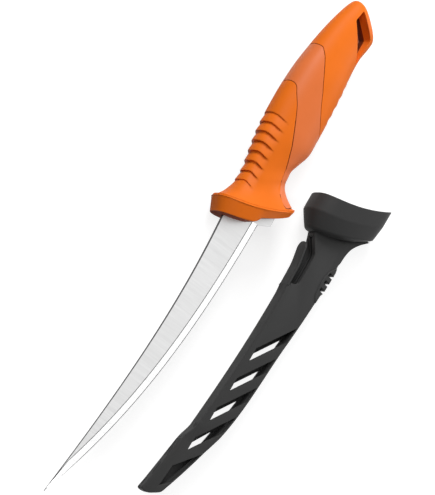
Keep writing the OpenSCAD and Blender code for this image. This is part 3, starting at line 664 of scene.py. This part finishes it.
class FILLET_OT_handle(bpy.types.Operator):
    """The two soft skins and the band of hard core between them"""

    bl_idname = "fillet.handle"
    bl_label = "Handle"

    def execute(self, context):
        front, rear = seam_stations(FRONT_SEAM), seam_stations(REAR_SEAM)
        rim, far = GUARD_LEAD + 0 * ANGLES, BUTT_X + 0 * ANGLES
        # The third finish is painted shade for the grooves, the plug's end and the lanyard hole's middle
        skin, core, seam_shade = [material_for(kind) for kind in (
            "moulded_orange_elastomer", "moulded_core_polypropylene", "recessed_orange_seam")]

        rows = [(rim + b, a + 0 * rim) for a, b in quarter_round(RIM_RADIUS, (0, 30, 60, 90))]
        rows += between(rim + RIM_RADIUS, beside_seam(front, -1), FRONT_ROW_STEP)
        rows += seam_rows(front, -1)[::-1]
        solid, slots = skin_solid(rows + inner_wall(rim, front))
        plug, plug_slots = guard_plug()
        grip = make_mesh("front_grip_skin", [solid, plug], slots=np.concatenate([slots, plug_slots]))
        finish(grip, "knife", "grip_orange", "front_grip", skin, seam_shade)

        rows = seam_rows(front, 1)
        rows += between(beside_seam(front, 1), beside_seam(rear, -1), BAND_ROW_STEP)
        solid, slots = skin_solid(rows + seam_rows(rear, -1)[::-1] + inner_wall(front, rear))
        band = make_mesh("core_band", [solid], slots=slots)
        finish(band, "knife", "core_orange", "handle_core", core, seam_shade)

        half = handle_row(far)[0, 4]
        under = 0.74 * BUTT_X + 0 * far
        middle = handle_row(under)[0, 4]
        rows = [(under, SKIN_T + s * (middle - SKIN_T) + 0 * far) for s in (1.0, 0.6, 0.3, 0.0)]
        rows += [(rear + (under - rear) * s, SKIN_T + 0 * far) for s in (0.6, 0.3, 0.0)]
        rows += seam_rows(rear, 1) + between(beside_seam(rear, 1), far - BUTT_RADIUS, REAR_ROW_STEP)
        rows += [(far - a, b + 0 * far) for a, b in quarter_round(BUTT_RADIUS, BUTT_STEPS)]
        rows += [(far, BUTT_RADIUS + (half - BUTT_RADIUS) * s + 0 * far) for s in (0.35, 0.7, 1.0)]
        solid, slots = skin_solid(rows, closed=False)
        tail = make_mesh("rear_grip_skin", [solid], slots=slots)
        finish(tail, "knife", "grip_orange", "rear_grip", skin, seam_shade)
        cut_away(tail, [hole_cutter()])
        return {"FINISHED"}


# ---------------------------------------------------------------- blade


EDGE_HALF = 0.1
# The tang with the unsharpened heel, as a loop of x and y
TANG_LOOP = np.array([
    [HEEL_X, -BLADE_W], [HEEL_BACK_X - 0.4, HEEL_LOW_Y], [HEEL_BACK_X + 4.2, HEEL_LOW_Y],
    [30, -15], [85, -15], [88, -12], [88, -6], [85, -3], [30, -3], [HEEL_BACK_X, 0], [HEEL_X, 0],
])


def grind_widths(width, settings):
    """Widths of the bevel and of the dull lines where the blade has some width: they shrink with it."""
    return (np.minimum(settings.bevel_width / MM, 0.85 * width),
            np.minimum(settings.line_width / MM, 0.06 * width))


def blade_loop(x, settings):
    """One cross-section of the ground blade: rounded spine, flats, bevels and a fine edge bevel.
    Its heights come from the spine and edge curves, its thickness thins towards the tip."""
    back = spine_at(x)
    cut = np.minimum(edge_at(x), back - 0.3)
    width = back - cut
    thick = BLADE_T + (TIP_T - BLADE_T) * np.maximum(-x, 0) / BLADE_LEN
    half = np.minimum(thick, 0.3 + width / 2) / 2
    bevel, strip = grind_widths(width, settings)
    soft = np.minimum(0.25, 0.3 * half)
    near_half = EDGE_HALF + (half - EDGE_HALF) * strip / bevel
    side = [
        (back, half - soft), (back - 0.3 * soft, half - 0.3 * soft), (back - soft, half),
        (cut + bevel + strip, half), (cut + bevel, half), (cut + strip, near_half),
        (cut, EDGE_HALF + 0 * x),
    ]
    loop = [(back, 0 * x), *side, *[(y, -z) for y, z in side[::-1]]]
    return np.stack([np.stack([x, y, z], -1) for y, z in loop], 1)


def steel_of(x, y, settings):
    """Which steel a face at x and y is made of: 0 for the flat, 1 for the bevel, 2 for the lines, which
    carry a painted dark reflection.
    by the distances to the spine and to the cutting edge."""
    below, above = spine_at(x) - y, y - edge_at(x)
    bevel, strip = grind_widths(below + above, settings)
    # The spine, the cutting edge and the grind borders get the painted dark reflection
    lined = (below < 0.26) | (np.abs(above - bevel - strip / 2) < 0.6 * strip) | (above < 0.9 * strip)
    return np.where(lined, 2, np.where(above < bevel, 1, 0))


class FILLET_OT_blade(bpy.types.Operator):
    """The ground blade with its heel and the tang that runs into the handle"""

    bl_idname = "fillet.blade"
    bl_label = "Blade"

    def execute(self, context):
        settings = context.scene.fillet_knife
        rings = blade_loop(HEEL_X - (HEEL_X + BLADE_LEN) * np.linspace(0, 1, 170) ** 0.97, settings)
        # The grinds meet at a few degrees, and their edges have to stay sharp
        blade = make_mesh("ground_blade", [
            (knife_points(rings), grid_faces(*rings.shape[:2], capped=True)),
            plate([TANG_LOOP], bevelled(BLADE_T / 2, 0.12), knife_points),
        ], crease_degrees=4.0)
        finish(blade, "knife", "steel", "blade", material_for("satin_stainless_steel"),
               material_for("ground_stainless_steel"), material_for("burred_stainless_steel"))
        faces = blade.data.polygons
        centre = np.zeros(len(faces) * 3)
        faces.foreach_get("center", centre)
        x, y = centre.reshape(-1, 3)[:, :2].T / MM - np.array([KNIFE_ROOT[:2]]).T
        faces.foreach_set("material_index", np.where(x < HEEL_X - 0.1, steel_of(x, y, settings), 0))
        return {"FINISHED"}


# ---------------------------------------------------------------- plates of the sheath


def turned_left(loop):
    """The loop with its inside on its left: anticlockwise, from the sign of its area."""
    x, y = loop[:, 0], loop[:, 1]
    area = (x * np.roll(y, -1) - np.roll(x, -1) * y).sum()
    return loop if area > 0 else loop[::-1]


def bevelled(half, bevel):
    """Levels of a plate that is twice half thick, with both its rims bevelled."""
    return [(-half, bevel), (bevel - half, 0), (half - bevel, 0), (half, bevel)]


def plate(loops, levels, place):
    """A flat plate with holes as a closed solid. Its first loop is the outline and the rest are holes.
    Each level is a height and how far the outline is drawn in there; the two end levels are filled."""
    loops = [turned_left(loops[0])] + [turned_left(hole)[::-1] for hole in loops[1:]]
    starts = [sum(len(loop) for loop in loops[:k]) for k in range(len(loops) + 1)]
    count, top = starts[-1], len(levels) - 1
    rings = [
        np.column_stack([np.concatenate([offset_loop(loop, inset) for loop in loops]), np.full(count, z)])
        for z, inset in levels
    ]
    faces = []
    for start, loop in zip(starts, loops):
        i = start + np.arange(len(loop))
        for a, b in [(i + k * count, i + (k + 1) * count) for k in range(top)]:
            faces += np.stack([a, np.roll(a, -1), np.roll(b, -1), b], 1).tolist()
    for k in (0, top):
        rims = [[Vector(p) for p in part.tolist()] for part in np.split(rings[k], starts[1:-1])]
        for tri in tessellate_polygon(rims):
            faces.append([k * count + v for v in (tri if k else tri[::-1])])
    return place(np.concatenate(rings)), faces


def channel_back(x):
    """The channel's spine side: the blade's spine and the clearance."""
    return spine_at(x) + CLEAR


def body_back(x):
    """The sheath's spine side: the channel's side and the wall, and a swell round the tip that steps up
    and then grows evenly. Just before the tongue it rises by 0.4 mm to the tongue's back."""
    x = np.asarray(x, float)
    s = -x / BLADE_LEN
    swell = 0.65 * smooth((s - 0.78) / 0.07) + 0.35 * np.clip((s - 0.84) / 0.16, 0, 1)
    rise = np.where(x < TONGUE_ROOT_X, 0.4 * smooth((x - TONGUE_ROOT_X) / 5 + 1.2), 0)
    return channel_back(x) + SIDE_WALL + TIP_SWELL * swell + rise


def rail_at(x):
    """Width of the rail beside the channel: it grows on a smooth step from 42% of the blade to 80%."""
    return RAIL_W * smooth((-np.asarray(x, float) / BLADE_LEN - 0.42) / 0.38)


def channel_cut(x):
    """The channel's edge side: the cutting edge, the clearance and most of the rail."""
    return np.minimum(edge_at(x), spine_at(x)) - CLEAR - 0.8 * rail_at(x)


def body_cut(x):
    """The sheath's edge side: the cutting edge, clearance, wall, the rail and the swelling thumb pad."""
    s = -np.asarray(x, float) / BLADE_LEN
    pad = 0.8 * smooth((s - 0.115) / 0.03) * (1 - smooth((s - 0.215) / 0.015))
    return edge_at(x) - CLEAR - SIDE_WALL - rail_at(x) - pad


def through(points, step):
    """A smooth curve through points: Hermite curves by the distance along them."""
    points = np.asarray(points, float)
    along = np.concatenate([[0], np.cumsum(np.linalg.norm(np.diff(points, axis=0), axis=1))])
    rows = np.column_stack([along, points])
    return table_at(rows, np.linspace(0, along[-1], max(int(along[-1] / step), 3)))[:, 1:]


CREASE = np.array([
    [-17.2, 17.0], [-14.19, 4.26], [-12.41, -1.41], [-9.31, -8.61], [-6.71, -17.89], [-2.3, -25.99],
    [0.71, -31.2], [4.3, -42.6],
])
NECK = np.array([
    [1.9, -32.6], [1.0, -31.95], [-3.01, -28.01], [-8.17, -24.6], [-13.33, -23.22], [-18.28, -22.79],
])
NECK_END_X, NOTCHES_FROM_X, NOTCH_X = -20.41, -21.0, [-28.05 - 4.9 * i for i in range(3)]
NOTCH_W, NOTCH_DEPTH, NOTCH_WALL_DEPTH, NOTCH_LEAN = 1.8, 3.2, 1.4, math.radians(10)
PAD_FROM_X, PAD_TO_X = -22.5, -45.5
# The pad's inner side: x, and how far it lies from the body's edge side
PAD_SIDE = np.array([[-45.5, 0.4], [-42.5, 2.6], [-38, 4.3], [-32, 4.9], [-26.5, 3.8], [-22.5, 0.9]])
# The windows: first place, pitch, height under the spine and slant. Then for each face the width, the
# margin to the edge side and the share of the rail, and how far the back's windows lie towards the tip
WINDOW_X, WINDOW_PITCH, WINDOW_DROP = -0.485 * BLADE_LEN, 19.8, 2.3
WINDOW_SLANT = np.array([0.16, -0.11]) * BLADE_LEN
FRONT_WINDOW, BACK_WINDOW = (8.3, 0.9, 0.0), (8.7, 1.4, 0.42)
BACK_SHIFT = (6.4, 6.4, 6.1, 5.2)
FRONT_SLOT, BACK_SLOT = 1.08, 0.5
SLOT_RIB_T, SLOT_RIB_Z, SEAT_RADIUS = 0.9, 1.3, 0.8
BRIDGE_X, BRIDGE_SLANT, CUP_OVERLAP = (-15.2, -12.2), 0.6, 1.2
LAST_WINDOW, LAST_WINDOW_X, LAST_WINDOW_MARGIN = [[-178.2, 6.2], [-165.2, 4.9]], (-151.6, -172.8), 0.7
# Where the body gets thinner towards the tip, as shares of the blade, and how much of that is rounded
THIN_FROM, THIN_TO, THIN_ROUND = 0.777, 0.845, 0.12


def notch_side(x, depth):
    """One notch as the outline runs towards the tip: in, along its floor, and out, leaning to the cup."""
    c, s = math.cos(NOTCH_LEAN), math.sin(NOTCH_LEAN)
    half = NOTCH_W / 2
    corners = np.array([[half, -0.1], [half, depth], [-half, depth], [-half, -0.1]])
    return corners @ [[c, -s], [s, c]] + [x, body_cut(x)]


def notched_edge(start, depth):
    """The edge side from start past the three notches, and the x at which it ends."""
    parts, x, past = [], start, NOTCH_W / 2 + 0.3
    for notch_x in NOTCH_X:
        parts += [traced(body_cut, x, notch_x + past, 5), notch_side(notch_x, depth)]
        x = notch_x - past
    return np.concatenate(parts), x


def edge_side(depth):
    """The edge side of the body from the cup to past the tip, with the notches in it."""
    neck = through(np.vstack([NECK, [[NECK_END_X, body_cut(NECK_END_X)]]]), 1.0)
    notches, x = notched_edge(NOTCHES_FROM_X, depth)
    return np.concatenate([neck, notches, traced(body_cut, x, -BLADE_LEN, 70)])


def pad_outline():
    """The raised pad round the notches: the notched edge, and a bowed side that lies further in."""
    notches, x = notched_edge(PAD_FROM_X, NOTCH_DEPTH)
    back = through(PAD_SIDE + np.outer(body_cut(PAD_SIDE[:, 0]), [0, 1]), 0.8)
    return np.concatenate([notches, traced(body_cut, x, PAD_TO_X, 5), back])


# The rounded end as shares: how far past the blade's tip, and how far from the spine to the edge side
TIP_SHARES = np.array([
    [0, 1], [0.14, 0.97], [0.44, 0.87], [0.8, 0.55], [1.0, 0.33], [1.05, 0.18], [1.05, 0.0], [1.0, -0.09],
    [0.9, -0.11], [0.5, -0.06], [0, 0],
])
# The slot's inner edge as shares of the tongue's length and of the slot's width
SLOT_SHARES = np.array([
    [1.225, -0.25], [1.15, -0.02], [1.08, 0.19], [0.96, 0.62], [0.87, 0.92], [0.82, 0.99], [0.7, 1],
    [0.4, 0.97], [0.2, 0.93], [0.14, 0.86], [0.1, 0.68], [0.075, 0.4], [0.06, 0.05], [0.002, 0.05],
])


def tip_end():
    """The rounded end past the blade's tip, from the edge side to the spine side."""
    high, low = body_back(-BLADE_LEN), body_cut(-BLADE_LEN)
    x = -BLADE_LEN - TIP_SHARES[:, 0] * TIP_ROOM
    return through(np.column_stack([x, high + (low - high) * TIP_SHARES[:, 1]]), 0.7)[1:-1]


def slot_edge(wide):
    """The slot's inner edge: down from the cup's foot on a slant, along the slot and round its end."""
    x = TONGUE_ROOT_X + SLOT_SHARES[:, 0] * TONGUE_LEN
    return np.column_stack([x, channel_back(x) - SLOT_SHARES[:, 1] * SLOT_W * wide])


def seat_arc():
    """The round seat of the tongue's root at the end of the slot."""
    middle = np.array([TONGUE_ROOT_X, channel_back(TONGUE_ROOT_X) + TONGUE_T / 2])
    turn = np.radians(np.linspace(262, 112, 9))
    seat = middle + SEAT_RADIUS * np.column_stack([np.cos(turn), np.sin(turn)])
    return seat[seat[:, 0] < TONGUE_ROOT_X - 0.05]


def slot_rib():
    """The rib that stiffens the slot's edge under the face, from the slant to the round end."""
    edge = slot_edge(FRONT_SLOT)[1:-4]
    return np.concatenate([edge, edge[::-1] - [0, SLOT_RIB_T]])


def spine_side():
    """The body's spine side from past the blade's tip to the tongue's root."""
    return traced(body_back, -BLADE_LEN, TONGUE_ROOT_X - 1.2, 60)


def cup_side():
    """The hidden end of the neck, from the spine side to the edge side, a little inside the cup."""
    line = CREASE[1:-2] + [CUP_OVERLAP, 0]
    line[0, 1] = body_back(line[0, 0])
    return line


def body_outline(slot_wide):
    """The body's whole outline: cup's foot, edge side, tip, spine side, tongue slot."""
    slot = np.concatenate([slot_edge(slot_wide), seat_arc()])
    return np.concatenate([cup_side(), edge_side(NOTCH_DEPTH), tip_end(), spine_side(), slot[::-1]])


def rim_outlines():
    """The walls between the two faces: the body's outline less the channel, as a long hook and a bridge
    whose end by the cup slants down to the channel."""
    hook = np.concatenate([
        edge_side(NOTCH_WALL_DEPTH), tip_end(), spine_side(), seat_arc()[::-1],
        traced(channel_back, TONGUE_ROOT_X - 0.02, -BLADE_LEN - CLEAR, 60),
        traced(channel_cut, -BLADE_LEN - CLEAR + 0.6, 1.8, 70),
    ])
    slant = traced(lambda x: channel_back(x) + BRIDGE_SLANT * (x - BRIDGE_X[0] + 1), *BRIDGE_X, 5)
    slant[:, 1] = np.minimum(slant[:, 1], body_back(slant[:, 0]))
    return hook, np.concatenate([slant, traced(channel_back, *BRIDGE_X, 5)[::-1]])


def window_loop(i, shift, wide, margin, rail_share):
    """One diagonal window: a leaning parallelogram whose far end follows the edge side at a margin, which
    holds a share of the rail too."""
    def low(x):
        return body_cut(x) + margin + rail_share * rail_at(x)

    x = WINDOW_X - i * WINDOW_PITCH
    corners = np.array([[x - shift - wide, 0], [x - shift, 0]]) + [0, spine_at(x) - WINDOW_DROP]
    ends = []
    for corner in corners:
        line = corner + np.linspace(0, 1, 400)[:, None] * WINDOW_SLANT
        inside = line[:, 1] > low(line[:, 0])
        ends.append(line[inside][-1, 0] if inside.any() else corner[0])
    return np.concatenate([corners, traced(low, ends[1], ends[0], 9)])


def last_window():
    """The longer window at the tip: two corners near the spine side, and the edge side at a margin."""
    return np.concatenate([
        LAST_WINDOW, traced(lambda x: body_cut(x) + LAST_WINDOW_MARGIN, *LAST_WINDOW_X, 14),
    ])


def thinned(obj):
    """Bends the plates to the sheath's side profile: the body's half thickness falls by 1.5 mm between
    two stations, the faces move down and the walls between them shrink to match."""
    near, far = [(SHEATH_ROOT[0] - share * BLADE_LEN) * MM for share in (THIN_FROM, THIN_TO)]
    bm = bmesh.new()
    bm.from_mesh(obj.data)
    for s in (0, 1, THIN_ROUND, 1 - THIN_ROUND):
        bmesh.ops.bisect_plane(bm, geom=bm.verts[:] + bm.edges[:] + bm.faces[:], dist=1e-7,
                               plane_co=(near + (far - near) * s, 0, 0), plane_no=(1, 0, 0))
    bm.to_mesh(obj.data)
    bm.free()
    co = np.zeros(len(obj.data.vertices) * 3)
    obj.data.vertices.foreach_get("co", co)
    co = co.reshape(-1, 3)
    s = np.clip((co[:, 0] - near) / (far - near), 0, 1)
    s = np.where(s < THIN_ROUND, s * s / (2 * THIN_ROUND),
                 np.where(s > 1 - THIN_ROUND, 1 - (1 - s) ** 2 / (2 * THIN_ROUND), s))
    drop = (SHEATH_T - SHEATH_TIP_T) / 2 * MM * s
    z = co[:, 2] - SHEATH_ROOT[2] * MM
    inner = (SHEATH_T / 2 - FACE_WALL) * MM
    height = np.abs(z)
    moved = np.where(height <= inner + 1e-7, height * (inner - drop) / inner, height - drop)
    co[:, 2] = SHEATH_ROOT[2] * MM + np.sign(z) * moved
    obj.data.vertices.foreach_set("co", co.ravel())


def half_shell(name, side, slot_wide, windows):
    """One half of the body: a face plate with rounded edges and windows, the walls up to the other half,
    the slot's rib and the raised pad. Each solid is a loop or more and its levels."""
    settings = bpy.context.scene.moulded_sheath
    radius, pad = settings.edge_radius / MM, settings.pad_height / MM
    top, inner = SHEATH_T / 2, SHEATH_T / 2 - FACE_WALL
    rounded = [(top - a, b) for a, b in quarter_round(radius)]
    solids = [([body_outline(slot_wide), *windows], [(inner, 0), (top - radius, 0), *rounded])]
    solids += [([loop], [(0, 0), (inner, 0)]) for loop in rim_outlines()]
    solids.append(([slot_rib()], [(SLOT_RIB_Z, 0), (inner + 0.2, 0)]))
    solids.append(([pad_outline()], [(top - 0.2, 0), (top + pad - 0.25, 0), (top + pad, 0.35)]))
    plates = [
        plate(loops, [(side * z, inset) for z, inset in levels], sheath_points)
        for loops, levels in solids
    ]
    shell = make_mesh(name, plates, crease_degrees=24.0)
    thinned(shell)
    tidy_mesh(shell, 24.0)
    return shell


class FILLET_OT_shells(bpy.types.Operator):
    """The two halves of the sheath's body with windows, thumb notches and tongue slot"""

    bl_idname = "fillet.shells"
    bl_label = "Sheath body"

    def execute(self, context):
        black = material_for("moulded_black_polypropylene")
        front = [window_loop(i, 0, *FRONT_WINDOW) for i in range(4)] + [last_window()]
        back = [window_loop(i, shift, *BACK_WINDOW) for i, shift in enumerate(BACK_SHIFT)]
        front_face = half_shell("sheath_front_face", 1, FRONT_SLOT, front)
        finish(front_face, "sheath", "sheath_black", "sheath_front_shell", black)
        back_face = half_shell("sheath_back_face", -1, BACK_SLOT, back)
        finish(back_face, "sheath", "sheath_black", "sheath_back_shell", black)
        return {"FINISHED"}


# ---------------------------------------------------------------- cup and tongue

CUP_SHARES = np.array([
    [-0.76, -0.05, 0.02, -0.64, 1, 0.02], [-0.62, 0.0, 0.1, -0.71, 1.3, 0.03],
    [-0.575, 0.075, 0.17, -0.745, 1.62, 0.04], [-0.53, 0.105, 0.2, -0.755, 1.72, 0.043],
    [-0.172, 0.212, 0.62, -0.778, 2.12, 0.072], [-0.116, 0.224, 0.68, -0.779, 2.15, 0.074],
])
CUP_ROWS = np.vstack([
    CUP_SHARES * [CUP_LEN, GUARD_W, CUP_LEN, GUARD_W, 6.5, GUARD_W], RIM_ROW - [0, 0, 2.0, 0, 0, 0],
])
# The cup's hollow, from the lip down to the channel: how far each ring is drawn in at the spine end and
# at the edge end, its half thickness, and how far it lies behind the rim
CUP_HOLLOW = [
    (0.95, 0.95, 13.55, 0), (1.05, 0.95, 13.55, 0.5), (4.15, 0.95, 11.95, 8.5),
    (6.825, 3.825, 5.966, 17.6), (8.965, 6.125, 2.6, 21.5),
]
SEAT_DEPTH = 8.5


def cup_section(station, inset):
    """The cup's ring at a station, drawn in by an inset. It is boxier towards the rim."""
    near = np.clip((station - CUP_ROWS[0, 0]) / (GUARD_LEAD - CUP_ROWS[0, 0]), 0, 1)
    return section(drawn_in(table_at(CUP_ROWS, station), inset), ANGLES, boxy(ANGLES, near))


class FILLET_OT_cup(bpy.types.Operator):
    """The cup that takes the guard, hollow down to the blade's channel"""

    bl_idname = "fillet.cup"
    bl_label = "Sheath cup"

    def execute(self, context):
        radius = context.scene.moulded_sheath.lip_radius / MM
        t = np.linspace(CUP_ROWS[0, 0], GUARD_LEAD, 1500)
        past = past_line(section(table_at(CUP_ROWS, t)[:, None, :], ANGLES + 0 * t[:, None]), CREASE)
        foot = evened(t[np.argmax(past > 0, axis=0)], 6)
        # Wall from the foot, which is drawn in by half a millimetre, up to the lip
        rim = GUARD_LEAD + 0 * ANGLES
        rings = [
            cup_section(foot + (rim - radius - foot) * s, 0.5 * np.clip(1 - s / 0.03, 0, 1))
            for s in np.linspace(0, 1, 60)
        ]
        for a, b in quarter_round(radius):
            rings.append(section(drawn_in(table_at(CUP_ROWS, rim - a), b), ANGLES, boxy(ANGLES)))
        # The hollow's first rings follow the lip, and by the seat's depth they follow the rim's arc
        half_way = slice(len(ANGLES) // 2, None, -1)
        lip_x = rings[-1][half_way, 0]
        for top_in, end_in, half, depth in CUP_HOLLOW:
            ring = rim_section(top_in, end_in, half)
            share = min(depth / SEAT_DEPTH, 1)
            lip = np.interp(ring[:, 1], rings[-1][half_way, 1], lip_x)
            ring[:, 0] = lip * (1 - share) + ring[:, 0] * share - depth
            rings.append(ring)
        cup = make_mesh("sheath_cup_moulding", [
            (sheath_points(np.concatenate(rings)), grid_faces(len(rings), len(ANGLES), closed_rows=True)),
        ], crease_degrees=38.0)
        finish(cup, "sheath", "sheath_black", "sheath_cup", material_for("moulded_black_polypropylene"))
        return {"FINISHED"}


TONGUE_BOW, TONGUE_SOFT_FROM = 1.6, 0.97
# Powers of the superellipse in the tongue's sections, through its thickness and over its width
TONGUE_THICK_POWER, TONGUE_WIDE_POWER = 4.5, 9.0


class FILLET_OT_tongue(bpy.types.Operator):
    """The spring tongue: a bowed strip with a rounded free end and a round root"""

    bl_idname = "fillet.tongue"
    bl_label = "Spring tongue"

    def execute(self, context):
        half = SHEATH_T / 2
        bend = np.radians(np.linspace(6, 90, 18))
        s = np.concatenate([np.linspace(0, 0.8, 24), 1 - 0.2 * np.cos(bend)])
        x = TONGUE_ROOT_X + s * TONGUE_LEN
        middle = channel_back(x) + TONGUE_BOW * smooth((s - 0.4) / 0.6) + TONGUE_T / 2
        past_end = np.clip((x - TONGUE_END_X + half) / half, 0, 1)
        reach = half * np.sqrt(1 - past_end**2)
        soft = (s - TONGUE_SOFT_FROM) / (1 - TONGUE_SOFT_FROM)
        thick = TONGUE_T * np.where(soft > 0, np.sqrt(np.clip(1 - soft**2, 0, 1)) * 0.7 + 0.3, 1)
        turn = np.linspace(0, 2 * np.pi, 48, endpoint=False)
        c, w = np.cos(turn), np.sin(turn)
        across, up = signed_power(c, TONGUE_THICK_POWER), signed_power(w, TONGUE_WIDE_POWER)
        points = np.stack([
            x[:, None] + 0 * turn, middle[:, None] + thick[:, None] / 2 * across, reach[:, None] * up,
        ], -1)
        root = np.stack([0 * turn + x[0], 0 * turn + middle[0], reach[0] * up], -1)
        points = np.concatenate([root[None], points, points[-1:] * [1, 0, 0] + [0, middle[-1], 0]])
        knuckle = [TONGUE_ROOT_X, middle[0]] + TONGUE_T / 2 * np.column_stack([c, w])
        tongue = make_mesh("belt_tongue", [
            (sheath_points(points), grid_faces(len(points), len(turn))),
            plate([knuckle], bevelled(half, 0.2), sheath_points),
        ], crease_degrees=30.0)
        black = material_for("moulded_black_polypropylene")
        finish(tongue, "tongue", "sheath_black", "spring_tongue", black)
        return {"FINISHED"}


# ---------------------------------------------------------------- stage

TOWARDS_CAMERA = np.array([-0.2588, 0.4082, 0.8754])
IMAGE_UP = np.array([0.8323, 0.5542, -0.0124])
VIEW_TARGET = np.array([-1.69, 31.38, 14.5]) * MM
CAMERA_DISTANCE, LAMP_DISTANCE, FLOOR_HALF = 1.3, 1.6, 3.0
LENS, SENSOR_WIDTH, FLOOR_GLOW, WORLD_FILL = 175.1, 36, 0.78, 0.09
# Each lamp: its name, direction from the target, size in metres and watts
LAMPS = (
    ("key_light", (0.75, 0.45, 0.5), 0.7, 20), ("top_light", (0.16, 0.5, 0.8), 0.9, 8.5),
    ("rim_light", (0.66, -0.64, 0.4), 0.7, 10.5), ("side_light", (-0.2, -0.85, 0.45), 0.7, 5),
)


def by_ray(tree, hidden, seen):
    """Mixes two shaders: the seen one for camera, glossy and transmission rays, and the hidden one
    for the rest."""
    path, share = add_node(tree, "LightPath").outputs, 0.0
    for ray in ("Is Camera Ray", "Is Glossy Ray", "Is Transmission Ray"):
        share = add_node(tree, "Math", {0: share, 1: path[ray]}, operation="MAXIMUM").outputs[0]
    return add_node(tree, "MixShader", {0: share, 1: hidden.outputs[0], 2: seen.outputs[0]}).outputs[0]


def soft_box(name, direction, size, watts):
    """A square lamp that looks at the target from a direction."""
    lamp = bpy.data.lights.new(name, "AREA")
    lamp.shape, lamp.size, lamp.energy = "SQUARE", size, watts
    obj = added(name, lamp)
    away = Vector(direction).normalized()
    obj.location = Vector(VIEW_TARGET) + away * LAMP_DISTANCE
    obj.rotation_euler = away.to_track_quat("Z", "Y").to_euler()


class FILLET_OT_stage(bpy.types.Operator):
    """The white floor, the soft light and the camera at the photograph's angle"""

    bl_idname = "fillet.stage"
    bl_label = "Stage"

    def execute(self, context):
        scene = context.scene
        mesh = bpy.data.meshes.new("floor")
        corners = [(-1, -1), (1, -1), (1, 1), (-1, 1)]
        mesh.from_pydata([(x * FLOOR_HALF, y * FLOOR_HALF, 0) for x, y in corners], [], [(0, 1, 2, 3)])
        floor = added("floor", mesh)
        # White paper: seen, it glows and takes shadows; for other rays it only bounces a little light
        material, tree, output = new_material("white_floor")
        bounce = add_node(tree, "BsdfDiffuse", {"Color": linear("#5C5C5C")})
        glow = add_node(tree, "Emission", {"Color": (1, 1, 1, 1), "Strength": FLOOR_GLOW})
        shade = add_node(tree, "BsdfDiffuse", {"Color": (0.4, 0.4, 0.4, 1)})
        lit = add_node(tree, "AddShader", {0: glow.outputs[0], 1: shade.outputs[0]})
        tree.links.new(by_ray(tree, bounce, lit), output.inputs[0])
        mesh.materials.append(material)

        scene.world = bpy.data.worlds.new("studio")
        scene.world.use_nodes = True
        tree = scene.world.node_tree
        tree.nodes.clear()
        fill = add_node(tree, "Background", {"Color": (1, 1, 1, 1), "Strength": WORLD_FILL})
        bright = add_node(tree, "Background", {"Color": (1, 1, 1, 1), "Strength": 1.0})
        tree.links.new(by_ray(tree, fill, bright), tree.nodes.new("ShaderNodeOutputWorld").inputs[0])

        for lamp in LAMPS:
            soft_box(*lamp)

        camera = bpy.data.cameras.new("camera")
        camera.lens, camera.sensor_width, camera.sensor_fit = LENS, SENSOR_WIDTH, "AUTO"
        camera.clip_start, camera.clip_end = 0.1, 20
        seat = added("camera", camera)
        away = TOWARDS_CAMERA / np.linalg.norm(TOWARDS_CAMERA)
        up = IMAGE_UP - away * (IMAGE_UP @ away)
        up /= np.linalg.norm(up)
        axes = np.column_stack([np.cross(up, away), up, away, VIEW_TARGET + CAMERA_DISTANCE * away])
        seat.matrix_world = Matrix([*axes.tolist(), [0, 0, 0, 1]])
        scene.camera = seat
        scene.view_settings.view_transform = "Standard"
        return {"FINISHED"}


class FILLET_PT_sidebar(bpy.types.Panel):
    bl_idname = "FILLET_PT_sidebar"
    bl_label = "Fillet Knife"
    bl_space_type = "VIEW_3D"
    bl_region_type = "UI"
    bl_category = "Fillet Knife"

    def draw(self, context):
        for operator in PIECES:
            self.layout.operator(operator.bl_idname)
        scene = context.scene
        for group in (scene.fillet_knife, scene.moulded_sheath, scene.finish_settings):
            box = self.layout.box()
            for name in group.__annotations__:
                box.prop(group, name)


PIECES = (
    FILLET_OT_stage, FILLET_OT_blade, FILLET_OT_handle, FILLET_OT_shells, FILLET_OT_cup, FILLET_OT_tongue,
)
CLASSES = (FilletKnifeSettings, MouldedSheathSettings, FinishSettings, *PIECES, FILLET_PT_sidebar)


def register():
    for cls in CLASSES:
        bpy.utils.register_class(cls)
    bpy.types.Scene.fillet_knife = PointerProperty(type=FilletKnifeSettings)
    bpy.types.Scene.moulded_sheath = PointerProperty(type=MouldedSheathSettings)
    bpy.types.Scene.finish_settings = PointerProperty(type=FinishSettings)


def unregister():
    del bpy.types.Scene.finish_settings, bpy.types.Scene.moulded_sheath, bpy.types.Scene.fillet_knife
    for cls in reversed(CLASSES):
        bpy.utils.unregister_class(cls)


def main():
    """Builds the stage and the pieces."""
    register()
    bpy.ops.fillet.stage()
    bpy.ops.fillet.blade()
    bpy.ops.fillet.handle()
    bpy.ops.fillet.shells()
    bpy.ops.fillet.cup()
    bpy.ops.fillet.tongue()


if __name__ == "__main__":
    main()
